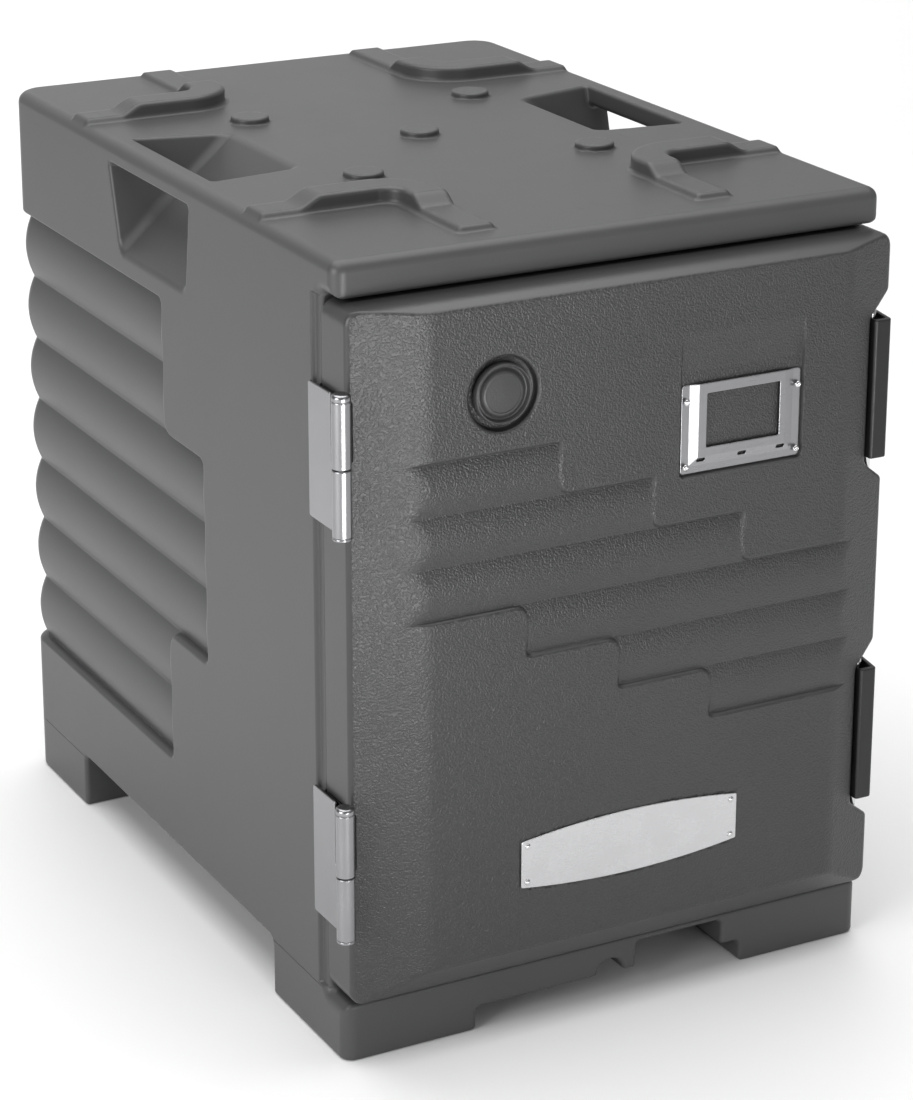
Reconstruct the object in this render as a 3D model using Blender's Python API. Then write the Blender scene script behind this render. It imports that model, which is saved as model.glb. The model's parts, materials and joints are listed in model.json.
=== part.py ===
"""Insulated food carrier: double-walled body, swinging door, two lift-off hinges, two side latches.

Metres, +X right, +Y back, +Z up; the origin is at the middle of the footprint, on the floor.
"""

import math

import bmesh
import bpy
from mathutils import Matrix, Vector

# ---- driving dimensions ----
HALF_W = 0.2275            # body skin, half width
Y_BACK = 0.3265            # back face
Y_LIP = -0.2935            # front of the roof lip
Y_BASE = -0.3001           # front of the base lip
Y_SIDE = -0.2565           # front edge of the body sides
Y_JAMB = -0.2695           # sealing face round the cavity mouth
JAMB_IN = 0.003            # the jamb is this much narrower than the sides
Z_BASE = 0.0465            # top of the base lip
Z_UNDER = 0.047            # underside between the feet
Z_LIP = 0.585              # underside of the roof lip
Z_ROOF = 0.612
ROOF_R = 0.009             # rounding of the roof edge
BACK_R = 0.025             # rounding of the back corners
FRONT_R = 0.010            # rounding of the front corners of roof lip and base
ROOF_MID_Y = (Y_LIP + Y_BACK) / 2

RIB_BOTTOM = 0.1245
RIB_TOP = 0.5067
RIB_ROWS = 7
RIB_DEPTH = 0.0075
RIB_SHORT_Y = 0.014        # front end of the short rows
RIB_LONG_Y = -0.060        # front end of the long rows
LONG_ROWS = (2, 3, 4)      # counted from the bottom

CAVITY_HALF = 0.168
CAVITY_BOTTOM = 0.085
CAVITY_TOP = 0.565
CAVITY_BACK = 0.272
RUNNERS = 11
RUNNER_FIRST = 0.125
RUNNER_PITCH = 0.040
RUNNER_OUT = 0.016
RUNNER_FRONT = -0.250      # the runners start behind the door's inner panel

SKIN = 0.0035
GAP = 0.0003               # clearance between touching pieces
VOID_X = 0.2165            # foam space of the body
VOID_FRONT = -0.2555
VOID_BACK = 0.3155
VOID_BOTTOM = 0.0535
VOID_TOP = 0.6085

FOOT_LEFT = -0.117         # inner edge of the left feet
FOOT_RIGHT = 0.117
FOOT_FRONT_Y = -0.175
FOOT_BACK_Y = 0.207
SKIRT_Z = 0.0185
SKIRT_BACK = -0.275
CUTAWAY = (0.0224, 0.100)
CUTAWAY_Z = 0.040
NOTCH_R = 0.012

BAR_IN = 0.2065            # inner face of the carrying bar
BAR_BOTTOM = 0.5955
POCKET_TOP_X = 0.132       # where the sloping pocket floor meets the roof
POCKET_SIDE_Z = 0.526      # where it meets the side
POCKET_Y = (-0.0455, 0.109)
POCKET_FLOOR_Y = (-0.036, 0.090)

BUTTON_R = 0.0155
BUTTON_H = 0.0052
BUTTON_X = 0.1005
BUTTON_Y = 0.1025

LUG_Y = 0.1665             # leg of a stacking lug, from the middle of the roof
LUG_X = 0.099              # its tail
LUG_W = 0.0150             # half width of the leg
LUG_TAIL_W = 0.0135
LUG_LOW = 0.0045
LUG_HIGH = 0.0128
LUG_R = 0.030
LUG_FRONT_END = -0.263
LUG_BACK_END = 0.314

DOOR_HALF = 0.2265
DOOR_BOTTOM = 0.0505
DOOR_TOP = 0.5825
Y_DOOR_BACK = -0.2715
Y_DOOR_EDGE = -0.310       # front of the door's edge
Y_FACE = -0.3245           # raised main face
FACE_LEFT = -0.171
FACE_RIGHT = 0.181
FACE_BOTTOM = 0.073
FACE_TOP = 0.5765
PANEL_HALF = 0.158         # raised panel on the inside of the door
PANEL_BOTTOM = 0.095
PANEL_TOP = 0.555
Y_PANEL = -0.258

WAVE_TOP = 0.4654
WAVE_PITCH = 0.0393
WAVE_DEPTH = 0.0032
WAVES = (                  # left and right end of each row, from the top
    (-0.250, -0.0607),
    (-0.250, 0.0174),
    (-0.250, 0.0953),
    (-0.0926, 0.250),
    (-0.0150, 0.250),
    (0.0648, 0.250),
)

GASKET_X = (0.172, 0.181)
GASKET_Z = ((0.080, 0.570), (0.071, 0.579))
GASKET_Y = (-0.2762, -0.2700)

VENT_X = -0.1105
VENT_Z = 0.510
VENT_DISH_R = 0.0277
VENT_FLOOR = -0.3180
VENT_BORE = 0.0070

LABEL_X = (0.0378, 0.1403)
LABEL_Z = (0.4246, 0.4928)
LABEL_WIN_X = (0.0585, 0.1215)
LABEL_WIN_Z = (0.4435, 0.4850)
LABEL_DEPTH = 0.0035
LABEL_SCREW = (0.0480, 0.0250)   # half spacing of its screws
LABEL_SCREW_Z = 0.4554
LABEL_RAMP_TOP = 0.532

PLATE_HALF = 0.0936
PLATE_Z = 0.142
PLATE_END = 0.0186         # half height at the ends
PLATE_BULGE = 0.0068
PLATE_T = 0.0012
RIVET = (0.0884, 0.0145)

HINGE_X = -0.2350
HINGE_Y = -0.3195
HINGE_R = 0.0070
HINGE_PIN_R = 0.0035
HINGE_SPLITS = {"upper": 0.4732, "lower": 0.1636}
HINGE_LEAF_Z = (-0.0540, 0.0470)      # reach of the leaves below and above the split
HINGE_PLATE_X = (-0.2312, -0.2290)    # plate beside the jamb
HINGE_PLATE_Y = (-0.2945, -0.2588)
HINGE_FLANGE_X = -0.1960              # its flange behind the door, screwed to the jamb
HINGE_FLANGE_Y = (-0.2712, -0.2698)
HINGE_WEB_Y = (-0.3180, -0.2920)      # from the plate to the lower barrel
HINGE_STEP = 0.0030                   # the leaves keep this far from the split
HINGE_SCREW_X = -0.2050
DOOR_LEAF_X = (-0.2286, -0.2268)
DOOR_LEAF_Y = (-0.3215, -0.2750)
DOOR_SCREW_Y = -0.2920
BARREL_GAP = 0.0004
BARREL_TOP = 0.0545

LATCH_Z = {"upper": 0.4635, "lower": 0.1825}
LATCH_X = 0.2370           # lever pivot
LATCH_Y = -0.2260
LATCH_BARREL = 0.0050
LATCH_PIN_R = 0.0025
LATCH_HALF = 0.0545        # half height of the lever
LATCH_SCREW_Y = -0.2080
LATCH_SCREWS = (-0.0350, 0.0350)
LEVER_FRONT_Y = (-0.3205, -0.3160)    # outer and inner side of the hook's front
LEVER_TIP_X = (0.2075, 0.2098)
LEVER_LIP_Y = -0.3110
BRACKET_Y = (-0.2530, -0.1980)
BRACKET_OUT = 0.2314
BRACKET_HALF = 0.0600
EAR_R = 0.0055
NOTCH_FLOOR_X = 0.2055                # floor of the door's latch notches
KEEPER_X = 0.2145
KEEPER_Y = -0.3045
KEEPER_R = 0.0035

BODY_PORT = (0.0, 0.100, 0.012)   # x, y, radius of the foaming port under the body
DOOR_PORT = (0.0, 0.300, 0.010)   # x, z, radius of the foaming port in the door panel

COLOURS = {                # linear colour, roughness, metallic
    "shell": ((0.125, 0.125, 0.127), 0.55, 0.0),
    "foam": ((0.80, 0.72, 0.48), 0.9, 0.0),
    "plug": ((0.05, 0.05, 0.05), 0.6, 0.0),
    "rubber": ((0.02, 0.02, 0.02), 0.8, 0.0),
    "steel": ((0.62, 0.62, 0.63), 0.25, 1.0),
    "nylon": ((0.012, 0.012, 0.013), 0.45, 0.0),
}


# ---- helpers ----
def material(name, kind):
    colour, rough, metal = COLOURS[kind]
    mat = bpy.data.materials.new(name)
    mat.use_nodes = True
    shader = mat.node_tree.nodes["Principled BSDF"]
    shader.inputs["Base Color"].default_value = (*colour, 1.0)
    shader.inputs["Roughness"].default_value = rough
    shader.inputs["Metallic"].default_value = metal
    return mat


def make(name, verts, faces, kind=None):
    """A closed mesh object; without a kind it is only a cutter."""
    mesh = bpy.data.meshes.new(name)
    bm = bmesh.new()
    points = [bm.verts.new(v) for v in verts]
    for face in faces:
        bm.faces.new([points[i] for i in face])
    bmesh.ops.remove_doubles(bm, verts=bm.verts, dist=1e-7)
    bmesh.ops.connect_verts_nonplanar(bm, angle_limit=1e-5, faces=bm.faces)
    bmesh.ops.recalc_face_normals(bm, faces=bm.faces)
    bm.to_mesh(mesh)
    bm.free()
    obj = bpy.data.objects.new(name, mesh)
    bpy.context.scene.collection.objects.link(obj)
    if kind:
        mesh.materials.append(material(name, kind))
    return obj


def loft(name, rings, kind=None):
    """Closed loops of equal length joined in order, with a cap at each end."""
    count = len(rings[0])
    verts = [p for ring in rings for p in ring]
    faces = [tuple(reversed(range(count)))]
    for r in range(len(rings) - 1):
        a = r * count
        b = a + count
        for i in range(count):
            j = (i + 1) % count
            faces.append((a + i, a + j, b + j, b + i))
    last = (len(rings) - 1) * count
    faces.append(tuple(range(last, last + count)))
    return make(name, verts, faces, kind)


def place(axis, a, b, along):
    """Outline coordinates a, b on the plane across the axis, at a distance along it."""
    if axis == "x":
        return (along, a, b)
    if axis == "y":
        return (a, along, b)
    return (a, b, along)


def prism(name, axis, outline, low, high, kind=None):
    rings = [[place(axis, a, b, t) for a, b in outline] for t in (low, high)]
    return loft(name, rings, kind)


def box(name, low, high, kind=None):
    outline = [(low[0], low[1]), (high[0], low[1]), (high[0], high[1]), (low[0], high[1])]
    return prism(name, "z", outline, low[2], high[2], kind)


def round_part(name, axis, a, b, profile, segments=20, kind=None):
    """Solid of revolution: profile is a list of (distance along the axis, radius)."""
    rings = []
    for along, radius in profile:
        ring = []
        for i in range(segments):
            angle = 2 * math.pi * (i + 0.5) / segments
            ring.append(place(axis, a + radius * math.cos(angle), b + radius * math.sin(angle), along))
        rings.append(ring)
    obj = loft(name, rings, kind)
    for face in obj.data.polygons:
        face.use_smooth = len(face.vertices) == 4
    return obj


def combine(target, other, operation):
    """Apply an exact boolean and drop the second object."""
    other.hide_render = True
    other.display_type = "WIRE"
    mod = target.modifiers.new("cut", "BOOLEAN")
    mod.operation = operation
    mod.solver = "EXACT"
    mod.object = other
    bpy.context.view_layer.update()
    graph = bpy.context.evaluated_depsgraph_get()
    result = bpy.data.meshes.new_from_object(target.evaluated_get(graph))
    old = target.data
    target.modifiers.clear()
    target.data = result
    result.name = target.name
    bpy.data.meshes.remove(old)
    spare = other.data
    bpy.data.objects.remove(other)
    bpy.data.meshes.remove(spare)
    return target


def cut(target, *others):
    for other in others:
        combine(target, other, "DIFFERENCE")
    return target


def join(target, *others):
    for other in others:
        combine(target, other, "UNION")
    return target


def mirrored(points):
    """Right half of an outline, front to back, completed with its left half."""
    return list(points) + [(-x, y) for x, y in reversed(points)]


def arc(cx, cy, radius, start, end, steps):
    return [
        (
            cx + radius * math.cos(math.radians(start + (end - start) * i / steps)),
            cy + radius * math.sin(math.radians(start + (end - start) * i / steps)),
        )
        for i in range(steps + 1)
    ]


# ---- body ----
def body_ring(z, front, corner, jamb, depth, rib_front, inset=0.0):
    """One level of the body's outer skin."""
    side = HALF_W - inset
    face = side - jamb
    points = arc(face - corner, front + inset + corner, corner, -90, 0, 2)
    points += [
        (face, Y_SIDE - (0.0 if jamb else 0.004)),
        (side, Y_SIDE),
        (side, rib_front),
        (side - depth, rib_front + 0.001),
    ]
    points += arc(HALF_W - BACK_R, Y_BACK - BACK_R, BACK_R - inset - depth, 0, 90, 4)
    return [(x, y, z) for x, y in mirrored(points)]


def body_outside():
    flat = 0.0004
    rings = [
        body_ring(0.0, Y_BASE, FRONT_R, 0.0, flat, RIB_SHORT_Y, 0.002),
        body_ring(0.002, Y_BASE, FRONT_R, 0.0, flat, RIB_SHORT_Y),
        body_ring(Z_BASE - 0.002, Y_BASE, FRONT_R, 0.0, flat, RIB_SHORT_Y),
        body_ring(Z_BASE, Y_BASE, FRONT_R, 0.0, flat, RIB_SHORT_Y, 0.0005),
        body_ring(Z_BASE + 0.0001, Y_JAMB, 0.001, JAMB_IN, flat, RIB_SHORT_Y),
        body_ring(RIB_BOTTOM, Y_JAMB, 0.001, JAMB_IN, flat, RIB_SHORT_Y),
    ]
    pitch = (RIB_TOP - RIB_BOTTOM) / RIB_ROWS
    steps = 4
    for row in range(RIB_ROWS):
        end = RIB_LONG_Y if row in LONG_ROWS else RIB_SHORT_Y
        for i in range(steps + 1):
            t = 2 * i / steps - 1
            depth = flat + (RIB_DEPTH - flat) * t * t
            z = RIB_BOTTOM + pitch * (row + i / steps)
            edge = 0.0002 * (i == 0) - 0.0002 * (i == steps)
            rings.append(body_ring(z + edge, Y_JAMB, 0.001, JAMB_IN, depth, end))
    rings += [
        body_ring(RIB_TOP, Y_JAMB, 0.001, JAMB_IN, flat, RIB_SHORT_Y),
        body_ring(Z_LIP - 0.0001, Y_JAMB, 0.001, JAMB_IN, flat, RIB_SHORT_Y),
        body_ring(Z_LIP, Y_LIP, FRONT_R, 0.0, flat, RIB_SHORT_Y, 0.0005),
        body_ring(Z_LIP + 0.002, Y_LIP, FRONT_R, 0.0, flat, RIB_SHORT_Y),
    ]
    for i in range(4):
        angle = math.radians(30 * i)
        rise = Z_ROOF - ROOF_R + ROOF_R * math.sin(angle)
        inset = ROOF_R * (1 - math.cos(angle))
        rings.append(body_ring(rise, Y_LIP, FRONT_R, 0.0, flat, RIB_SHORT_Y, inset))
    return loft("body_shell", rings, "shell")


def pocket(side, spread=0.0, with_bar=True):
    """Hand pocket from the side up through the roof; spread makes it larger all round."""
    slope = (Z_ROOF - POCKET_SIDE_Z) / (HALF_W - POCKET_TOP_X)
    drop = spread * math.hypot(1, slope)
    far = HALF_W + 0.02
    top = Z_ROOF + 0.02

    def floor_z(x):
        return Z_ROOF - drop - slope * (x - POCKET_TOP_X)

    inner = POCKET_TOP_X - (top - Z_ROOF + drop) / slope
    outer = (POCKET_Y[0] - spread, POCKET_Y[1] + spread)
    low = (POCKET_FLOOR_Y[0] - spread, POCKET_FLOOR_Y[1] + spread)
    outline = [(far, floor_z(far), low)]
    if with_bar:
        ease = 0.003
        outline += [
            (far, BAR_BOTTOM, outer),
            (BAR_IN + ease, BAR_BOTTOM, outer),
            (BAR_IN, BAR_BOTTOM + ease, outer),
            (BAR_IN, top, outer),
        ]
    else:
        outline += [(far, top, outer)]
    outline += [(inner, top, low)]
    rings = [[(side * x, ys[k], z) for x, z, ys in outline] for k in (0, 1)]
    return loft("pocket", rings)


def lug(side, end):
    """Stacking lug: a low leg from the side edge, a high corner and a low tail."""
    y = ROOF_MID_Y + end * LUG_Y
    tail_end = LUG_FRONT_END if end < 0 else LUG_BACK_END
    reach = abs(tail_end - y)
    stations = [
        (0.2225, 0.0, 90, LUG_W, LUG_LOW - 0.0015),
        (0.2185, 0.0, 90, LUG_W, LUG_LOW),
        (0.1900, 0.0, 90, LUG_W, LUG_LOW),
        (0.1680, 0.0, 90, LUG_W, LUG_HIGH),
        (0.1450, 0.0, 90, LUG_W, LUG_HIGH),
    ]
    for i in range(1, 6):
        turn = 90 * i / 5
        x = LUG_X + LUG_R * (1 - math.sin(math.radians(turn)))
        off = LUG_R * (1 - math.cos(math.radians(turn)))
        width = LUG_W + (LUG_TAIL_W - LUG_W) * i / 5
        stations.append((x, off, 90 - turn, width, LUG_HIGH))
    stations += [
        (LUG_X, LUG_R + 0.008, 0, LUG_TAIL_W, LUG_HIGH),
        (LUG_X, LUG_R + 0.024, 0, LUG_TAIL_W, LUG_LOW),
        (LUG_X, reach - 0.003, 0, LUG_TAIL_W, LUG_LOW),
        (LUG_X, reach, 0, LUG_TAIL_W - 0.002, LUG_LOW - 0.003),
    ]
    rings = []
    for x, off, turn, w, h in stations:
        across = (math.cos(math.radians(turn)), math.sin(math.radians(turn)))
        ring = []
        for s, z in (
            (-w, -0.002),
            (-w + 0.0015, h - 0.0025),
            (-w + 0.0040, h),
            (w - 0.0040, h),
            (w - 0.0015, h - 0.0025),
            (w, -0.002),
        ):
            px = x - s * across[0]
            py = off - s * across[1]
            ring.append((side * px, y + end * py, Z_ROOF + z))
        rings.append(ring)
    return loft("lug", rings)


def cavity():
    right = [(CAVITY_HALF, CAVITY_BOTTOM)]
    for i in range(RUNNERS):
        z = RUNNER_FIRST + RUNNER_PITCH * i
        right += [
            (CAVITY_HALF, z - 0.0105),
            (CAVITY_HALF - RUNNER_OUT, z - 0.0045),
            (CAVITY_HALF - RUNNER_OUT, z - 0.0005),
            (CAVITY_HALF, z),
        ]
    right += [(CAVITY_HALF, CAVITY_TOP)]
    racked = prism("cavity", "y", mirrored(right), RUNNER_FRONT, CAVITY_BACK)
    mouth = box(
        "mouth",
        (-CAVITY_HALF, Y_JAMB - 0.02, CAVITY_BOTTOM),
        (CAVITY_HALF, RUNNER_FRONT + 0.001, CAVITY_TOP),
    )
    return mouth, racked


def foam_block(name, shrink, kind=None):
    """The space inside the double wall, or with a shrink the foam that fills it."""
    s = shrink
    radius = 0.012
    plan = [(VOID_X - s, VOID_FRONT + s)]
    plan += arc(VOID_X - s - radius, VOID_BACK - s - radius, radius, 0, 90, 3)
    block = prism(name, "z", mirrored(plan), VOID_BOTTOM + s, VOID_TOP - s, kind)
    wall = SKIN + s
    cut(
        block,
        box(
            "core",
            (-CAVITY_HALF - wall, VOID_FRONT - 0.05, CAVITY_BOTTOM - wall),
            (CAVITY_HALF + wall, CAVITY_BACK + wall, CAVITY_TOP + wall),
        ),
        pocket(-1, wall, False),
        pocket(1, wall, False),
    )
    return block


def feet_cutters():
    low = -0.02
    side_way = box("side_way", (-0.3, FOOT_FRONT_Y, low), (0.3, FOOT_BACK_Y, Z_UNDER))
    long_way = box("long_way", (FOOT_LEFT, SKIRT_BACK, low), (FOOT_RIGHT, 0.4, Z_UNDER))
    front = box("front", (FOOT_LEFT, -0.4, low), (FOOT_RIGHT, SKIRT_BACK + 0.01, SKIRT_Z))
    away = box("away", (CUTAWAY[0], -0.4, low), (CUTAWAY[1], SKIRT_BACK + 0.01, CUTAWAY_Z))
    notch = round_part("notch", "y", 0.0, SKIRT_Z, [(-0.4, NOTCH_R), (SKIRT_BACK + 0.01, NOTCH_R)], 12)
    return side_way, long_way, front, away, notch


def make_body():
    shell = body_outside()
    for side in (-1, 1):
        for end in (-1, 1):
            join(shell, lug(side, end))
    for x, y in [(0, 0)] + [(a * BUTTON_X, b * BUTTON_Y) for a in (-1, 1) for b in (-1, 1)]:
        profile = [
            (Z_ROOF - 0.002, BUTTON_R),
            (Z_ROOF + BUTTON_H - 0.0012, BUTTON_R - 0.0004),
            (Z_ROOF + BUTTON_H, BUTTON_R - 0.0016),
        ]
        join(shell, round_part("button", "z", x, ROOF_MID_Y + y, profile, 20))
    cut(shell, pocket(-1), pocket(1), *cavity(), *feet_cutters())
    cut(shell, foam_block("space", 0.0))
    px, py, pr = BODY_PORT
    cut(shell, round_part("port", "z", px, py, [(0.04, pr), (VOID_BOTTOM + 0.001, pr)], 16))
    for split in HINGE_SPLITS.values():
        for z in hinge_screw_z(split):
            hole = [(Y_JAMB - 0.002, 0.0018), (Y_JAMB + 0.0115, 0.0018)]
            cut(shell, round_part("hole", "y", HINGE_SCREW_X, z, hole, 8))
    for middle in LATCH_Z.values():
        for dz in LATCH_SCREWS:
            hole = [(HALF_W - 0.0092, 0.0018), (HALF_W + 0.002, 0.0018)]
            cut(shell, round_part("hole", "x", LATCH_SCREW_Y, middle + dz, hole, 8))

    foam_block("body_foam", GAP, "foam")
    round_part(
        "body_foam_plug",
        "z",
        px,
        py,
        [
            (Z_UNDER - GAP - 0.002, pr + 0.003),
            (Z_UNDER - GAP - 0.0005, pr + 0.004),
            (Z_UNDER - GAP, pr + 0.004),
            (Z_UNDER - GAP, pr - GAP),
            (VOID_BOTTOM - GAP, pr - GAP),
        ],
        16,
        "plug",
    )


# ---- door ----
def rounded_rect(x0, x1, z0, z1, radius, steps=2):
    points = arc(x1 - radius, z0 + radius, radius, -90, 0, steps)
    points += arc(x1 - radius, z1 - radius, radius, 0, 90, steps)
    points += arc(x0 + radius, z1 - radius, radius, 90, 180, steps)
    points += arc(x0 + radius, z0 + radius, radius, 180, 270, steps)
    return points


def door_outside():
    def ring(y, x0, x1, z0, z1, radius):
        return [(x, y, z) for x, z in rounded_rect(x0, x1, z0, z1, radius)]

    def edge(y, inset):
        return ring(
            y,
            -DOOR_HALF + inset,
            DOOR_HALF - inset,
            DOOR_BOTTOM + inset,
            DOOR_TOP - inset,
            0.012 - inset / 2,
        )

    ease = 0.0015
    rings = [
        edge(Y_DOOR_BACK, ease),
        edge(Y_DOOR_BACK - ease, 0.0),
        edge(Y_DOOR_EDGE + ease, 0.0),
        edge(Y_DOOR_EDGE, ease),
        ring(Y_FACE + 0.0006, FACE_LEFT - 0.001, FACE_RIGHT + 0.001, FACE_BOTTOM - 0.001, FACE_TOP + 0.0005, 0.006),
        ring(Y_FACE, FACE_LEFT, FACE_RIGHT, FACE_BOTTOM, FACE_TOP, 0.006),
    ]
    return loft("door_shell", rings, "shell")


def wave_cutters():
    steps = 6
    out = Y_FACE - 0.02
    for row, (left, right) in enumerate(WAVES):
        top = WAVE_TOP - WAVE_PITCH * row
        outline = [(out, top - WAVE_PITCH), (out, top)]
        for i in range(steps + 1):
            t = 1 - 2 * i / steps
            y = Y_FACE + 0.0003 + (WAVE_DEPTH - 0.0003) * t * t
            overlap = 0.0002 * (i == steps)
            outline.append((y, top - WAVE_PITCH * i / steps - overlap))
        yield prism("wave", "x", outline, left, right)


def notch_outline(middle):
    """Notch for a latch in the right edge of the door, as x, z."""
    return [
        (NOTCH_FLOOR_X, middle - 0.058),
        (0.2110, middle - 0.063),
        (0.2600, middle - 0.100),
        (0.2600, middle + 0.107),
        (0.2130, middle + 0.062),
        (NOTCH_FLOOR_X, middle + 0.056),
    ]


def plate_outline(grow=0.0):
    steps = 8
    points = []
    for side in (-1, 1):
        for i in range(steps + 1):
            t = 1 - 2 * i / steps
            x = -side * t * (PLATE_HALF + grow)
            bulge = PLATE_BULGE * (1 - t * t)
            points.append((x, PLATE_Z + side * (PLATE_END + grow + bulge)))
    return points


def door_space(name, shrink, kind=None):
    """Foam space of the door, drawn in behind the two latch notches."""
    s = shrink
    reach = 0.088
    right = 0.219 - s
    narrow = NOTCH_FLOOR_X - 0.0045 - s
    outline = [(-0.212 + s, 0.058 + s), (right, 0.058 + s)]
    for middle in sorted(LATCH_Z.values()):
        outline += [
            (right, middle - reach - s),
            (narrow, middle - reach - s + 0.018),
            (narrow, middle + reach + s - 0.018),
            (right, middle + reach + s),
        ]
    outline += [(right, 0.575 - s), (-0.212 + s, 0.575 - s)]
    space = prism(name, "y", outline, -0.3055 + s, -0.2805 - s, kind)
    inner = PANEL_HALF - 0.005 - s
    panel = box(
        "panel",
        (-inner, -0.300, PANEL_BOTTOM + 0.005 + s),
        (inner, Y_PANEL - 0.004 - s, PANEL_TOP - 0.005 - s),
    )
    join(space, panel)
    tube = [(-0.35, VENT_BORE + SKIN + s), (-0.24, VENT_BORE + SKIN + s)]
    return cut(space, round_part("tube", "y", VENT_X, VENT_Z, tube, 16))


def gasket(name, grow, low, high, kind=None):
    outer = box(
        name,
        (-GASKET_X[1] - grow, low, GASKET_Z[1][0] - grow),
        (GASKET_X[1] + grow, high, GASKET_Z[1][1] + grow),
        kind,
    )
    inner = box(
        "hole",
        (-GASKET_X[0] + grow, low - 0.01, GASKET_Z[0][0] + grow),
        (GASKET_X[0] - grow, high + 0.01, GASKET_Z[0][1] - grow),
    )
    return cut(outer, inner)


def make_door():
    shell = door_outside()
    panel = box("panel", (-PANEL_HALF, -0.2755, PANEL_BOTTOM), (PANEL_HALF, Y_PANEL, PANEL_TOP))
    join(shell, panel)
    cut(shell, *wave_cutters())
    out = Y_FACE - 0.02
    slope = (LABEL_RAMP_TOP - 0.502) / LABEL_DEPTH
    recess = [
        (Y_FACE + LABEL_DEPTH, LABEL_Z[0] - 0.0015),
        (Y_FACE + LABEL_DEPTH, 0.502),
        (out, 0.502 + slope * (LABEL_DEPTH + 0.02)),
        (out, LABEL_Z[0] - 0.0015),
    ]
    cut(shell, prism("recess", "x", recess, LABEL_X[0] - 0.0015, LABEL_X[1] + 0.0020))
    cut(shell, prism("recess", "y", plate_outline(0.0012), out, Y_FACE + 0.0006))
    dish = [(out, VENT_DISH_R + 0.0012), (Y_FACE + 0.0012, VENT_DISH_R), (VENT_FLOOR, VENT_DISH_R - 0.0015)]
    cut(shell, round_part("dish", "y", VENT_X, VENT_Z, dish, 28))
    for middle in LATCH_Z.values():
        cut(shell, prism("notch", "y", notch_outline(middle), -0.36, Y_DOOR_BACK + 0.01))
        hole = [(middle - 0.0725, KEEPER_R + GAP), (middle + 0.0725, KEEPER_R + GAP)]
        cut(shell, round_part("hole", "z", KEEPER_X, KEEPER_Y, hole, 12))
    cut(shell, gasket("groove", GAP, -0.2765, -0.265))
    cut(shell, door_space("space", 0.0))
    bore = [(-0.35, VENT_BORE), (-0.24, VENT_BORE)]
    cut(shell, round_part("bore", "y", VENT_X, VENT_Z, bore, 16))
    px, pz, pr = DOOR_PORT
    cut(shell, round_part("port", "y", px, pz, [(Y_PANEL - 0.006, pr), (Y_PANEL + 0.01, pr)], 16))
    for x, z in label_points():
        hole = [(-0.34, 0.0016), (Y_FACE + 0.0100, 0.0016)]
        cut(shell, round_part("hole", "y", x, z, hole, 8))
    for x, z in rivet_points():
        hole = [(-0.34, 0.0016), (Y_FACE + 0.0080, 0.0016)]
        cut(shell, round_part("hole", "y", x, z, hole, 8))
    for split in HINGE_SPLITS.values():
        for z in door_screw_z(split):
            hole = [(-0.24, 0.0018), (-DOOR_HALF + 0.0105, 0.0018)]
            cut(shell, round_part("hole", "x", DOOR_SCREW_Y, z, hole, 8))

    door_space("door_foam", GAP, "foam")
    gasket("door_gasket", 0.0, *GASKET_Y, "rubber")
    round_part(
        "door_foam_plug",
        "y",
        px,
        pz,
        [
            (Y_PANEL - 0.0040 + GAP, pr - GAP),
            (Y_PANEL + GAP, pr - GAP),
            (Y_PANEL + GAP, pr + 0.004),
            (Y_PANEL + GAP + 0.0010, pr + 0.004),
            (Y_PANEL + GAP + 0.0020, pr + 0.003),
        ],
        16,
        "plug",
    )
    for middle_name, middle in LATCH_Z.items():
        round_part(
            middle_name + "_latch_keeper_pin",
            "z",
            KEEPER_X,
            KEEPER_Y,
            [
                (middle - 0.0720, KEEPER_R - 0.0008),
                (middle - 0.0710, KEEPER_R),
                (middle + 0.0710, KEEPER_R),
                (middle + 0.0720, KEEPER_R - 0.0008),
            ],
            12,
            "steel",
        )


# ---- vent, label frame, nameplate ----
def make_vent():
    under = VENT_FLOOR - GAP - 0.0015
    round_part(
        "vent_cap",
        "y",
        VENT_X,
        VENT_Z,
        [
            (Y_FACE - 0.0012, 0.0165),
            (Y_FACE - 0.0004, 0.0177),
            (Y_FACE + 0.0008, 0.0179),
            (Y_FACE + 0.0008, 0.0190),
            (Y_FACE - 0.0002, 0.0200),
            (Y_FACE - 0.0002, 0.0215),
            (Y_FACE + 0.0010, 0.0227),
            (under, 0.0227),
            (under, VENT_BORE - 0.0005),
            (-0.272, VENT_BORE - 0.0005),
            (-0.270, VENT_BORE - 0.0015),
        ],
        28,
        "shell",
    )
    seal = round_part(
        "vent_seal",
        "y",
        VENT_X,
        VENT_Z,
        [(under + GAP, 0.0120), (VENT_FLOOR - GAP, 0.0120)],
        20,
        "rubber",
    )
    cut(seal, round_part("hole", "y", VENT_X, VENT_Z, [(-0.35, VENT_BORE), (-0.30, VENT_BORE)], 20))


def label_points():
    cx = sum(LABEL_X) / 2
    cz = LABEL_SCREW_Z
    return [(cx + a * LABEL_SCREW[0], cz + b * LABEL_SCREW[1]) for a in (-1, 1) for b in (-1, 1)]


def rivet_points():
    return [(a * RIVET[0], PLATE_Z + b * RIVET[1]) for a in (-1, 1) for b in (-1, 1)]


def fastener(name, axis, a, b, seat, out, head_r, head_h, shank_r, length, kind="steel"):
    """Screw or rivet: domed head standing on seat towards out (+1 or -1), shank going in."""
    into = -out
    profile = [
        (seat + out * head_h, head_r * 0.45),
        (seat + out * head_h * 0.75, head_r * 0.8),
        (seat + out * head_h * 0.2, head_r),
        (seat, head_r),
        (seat, shank_r),
        (seat + into * length, shank_r),
    ]
    return round_part(name, axis, a, b, profile, 12, kind)


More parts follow.
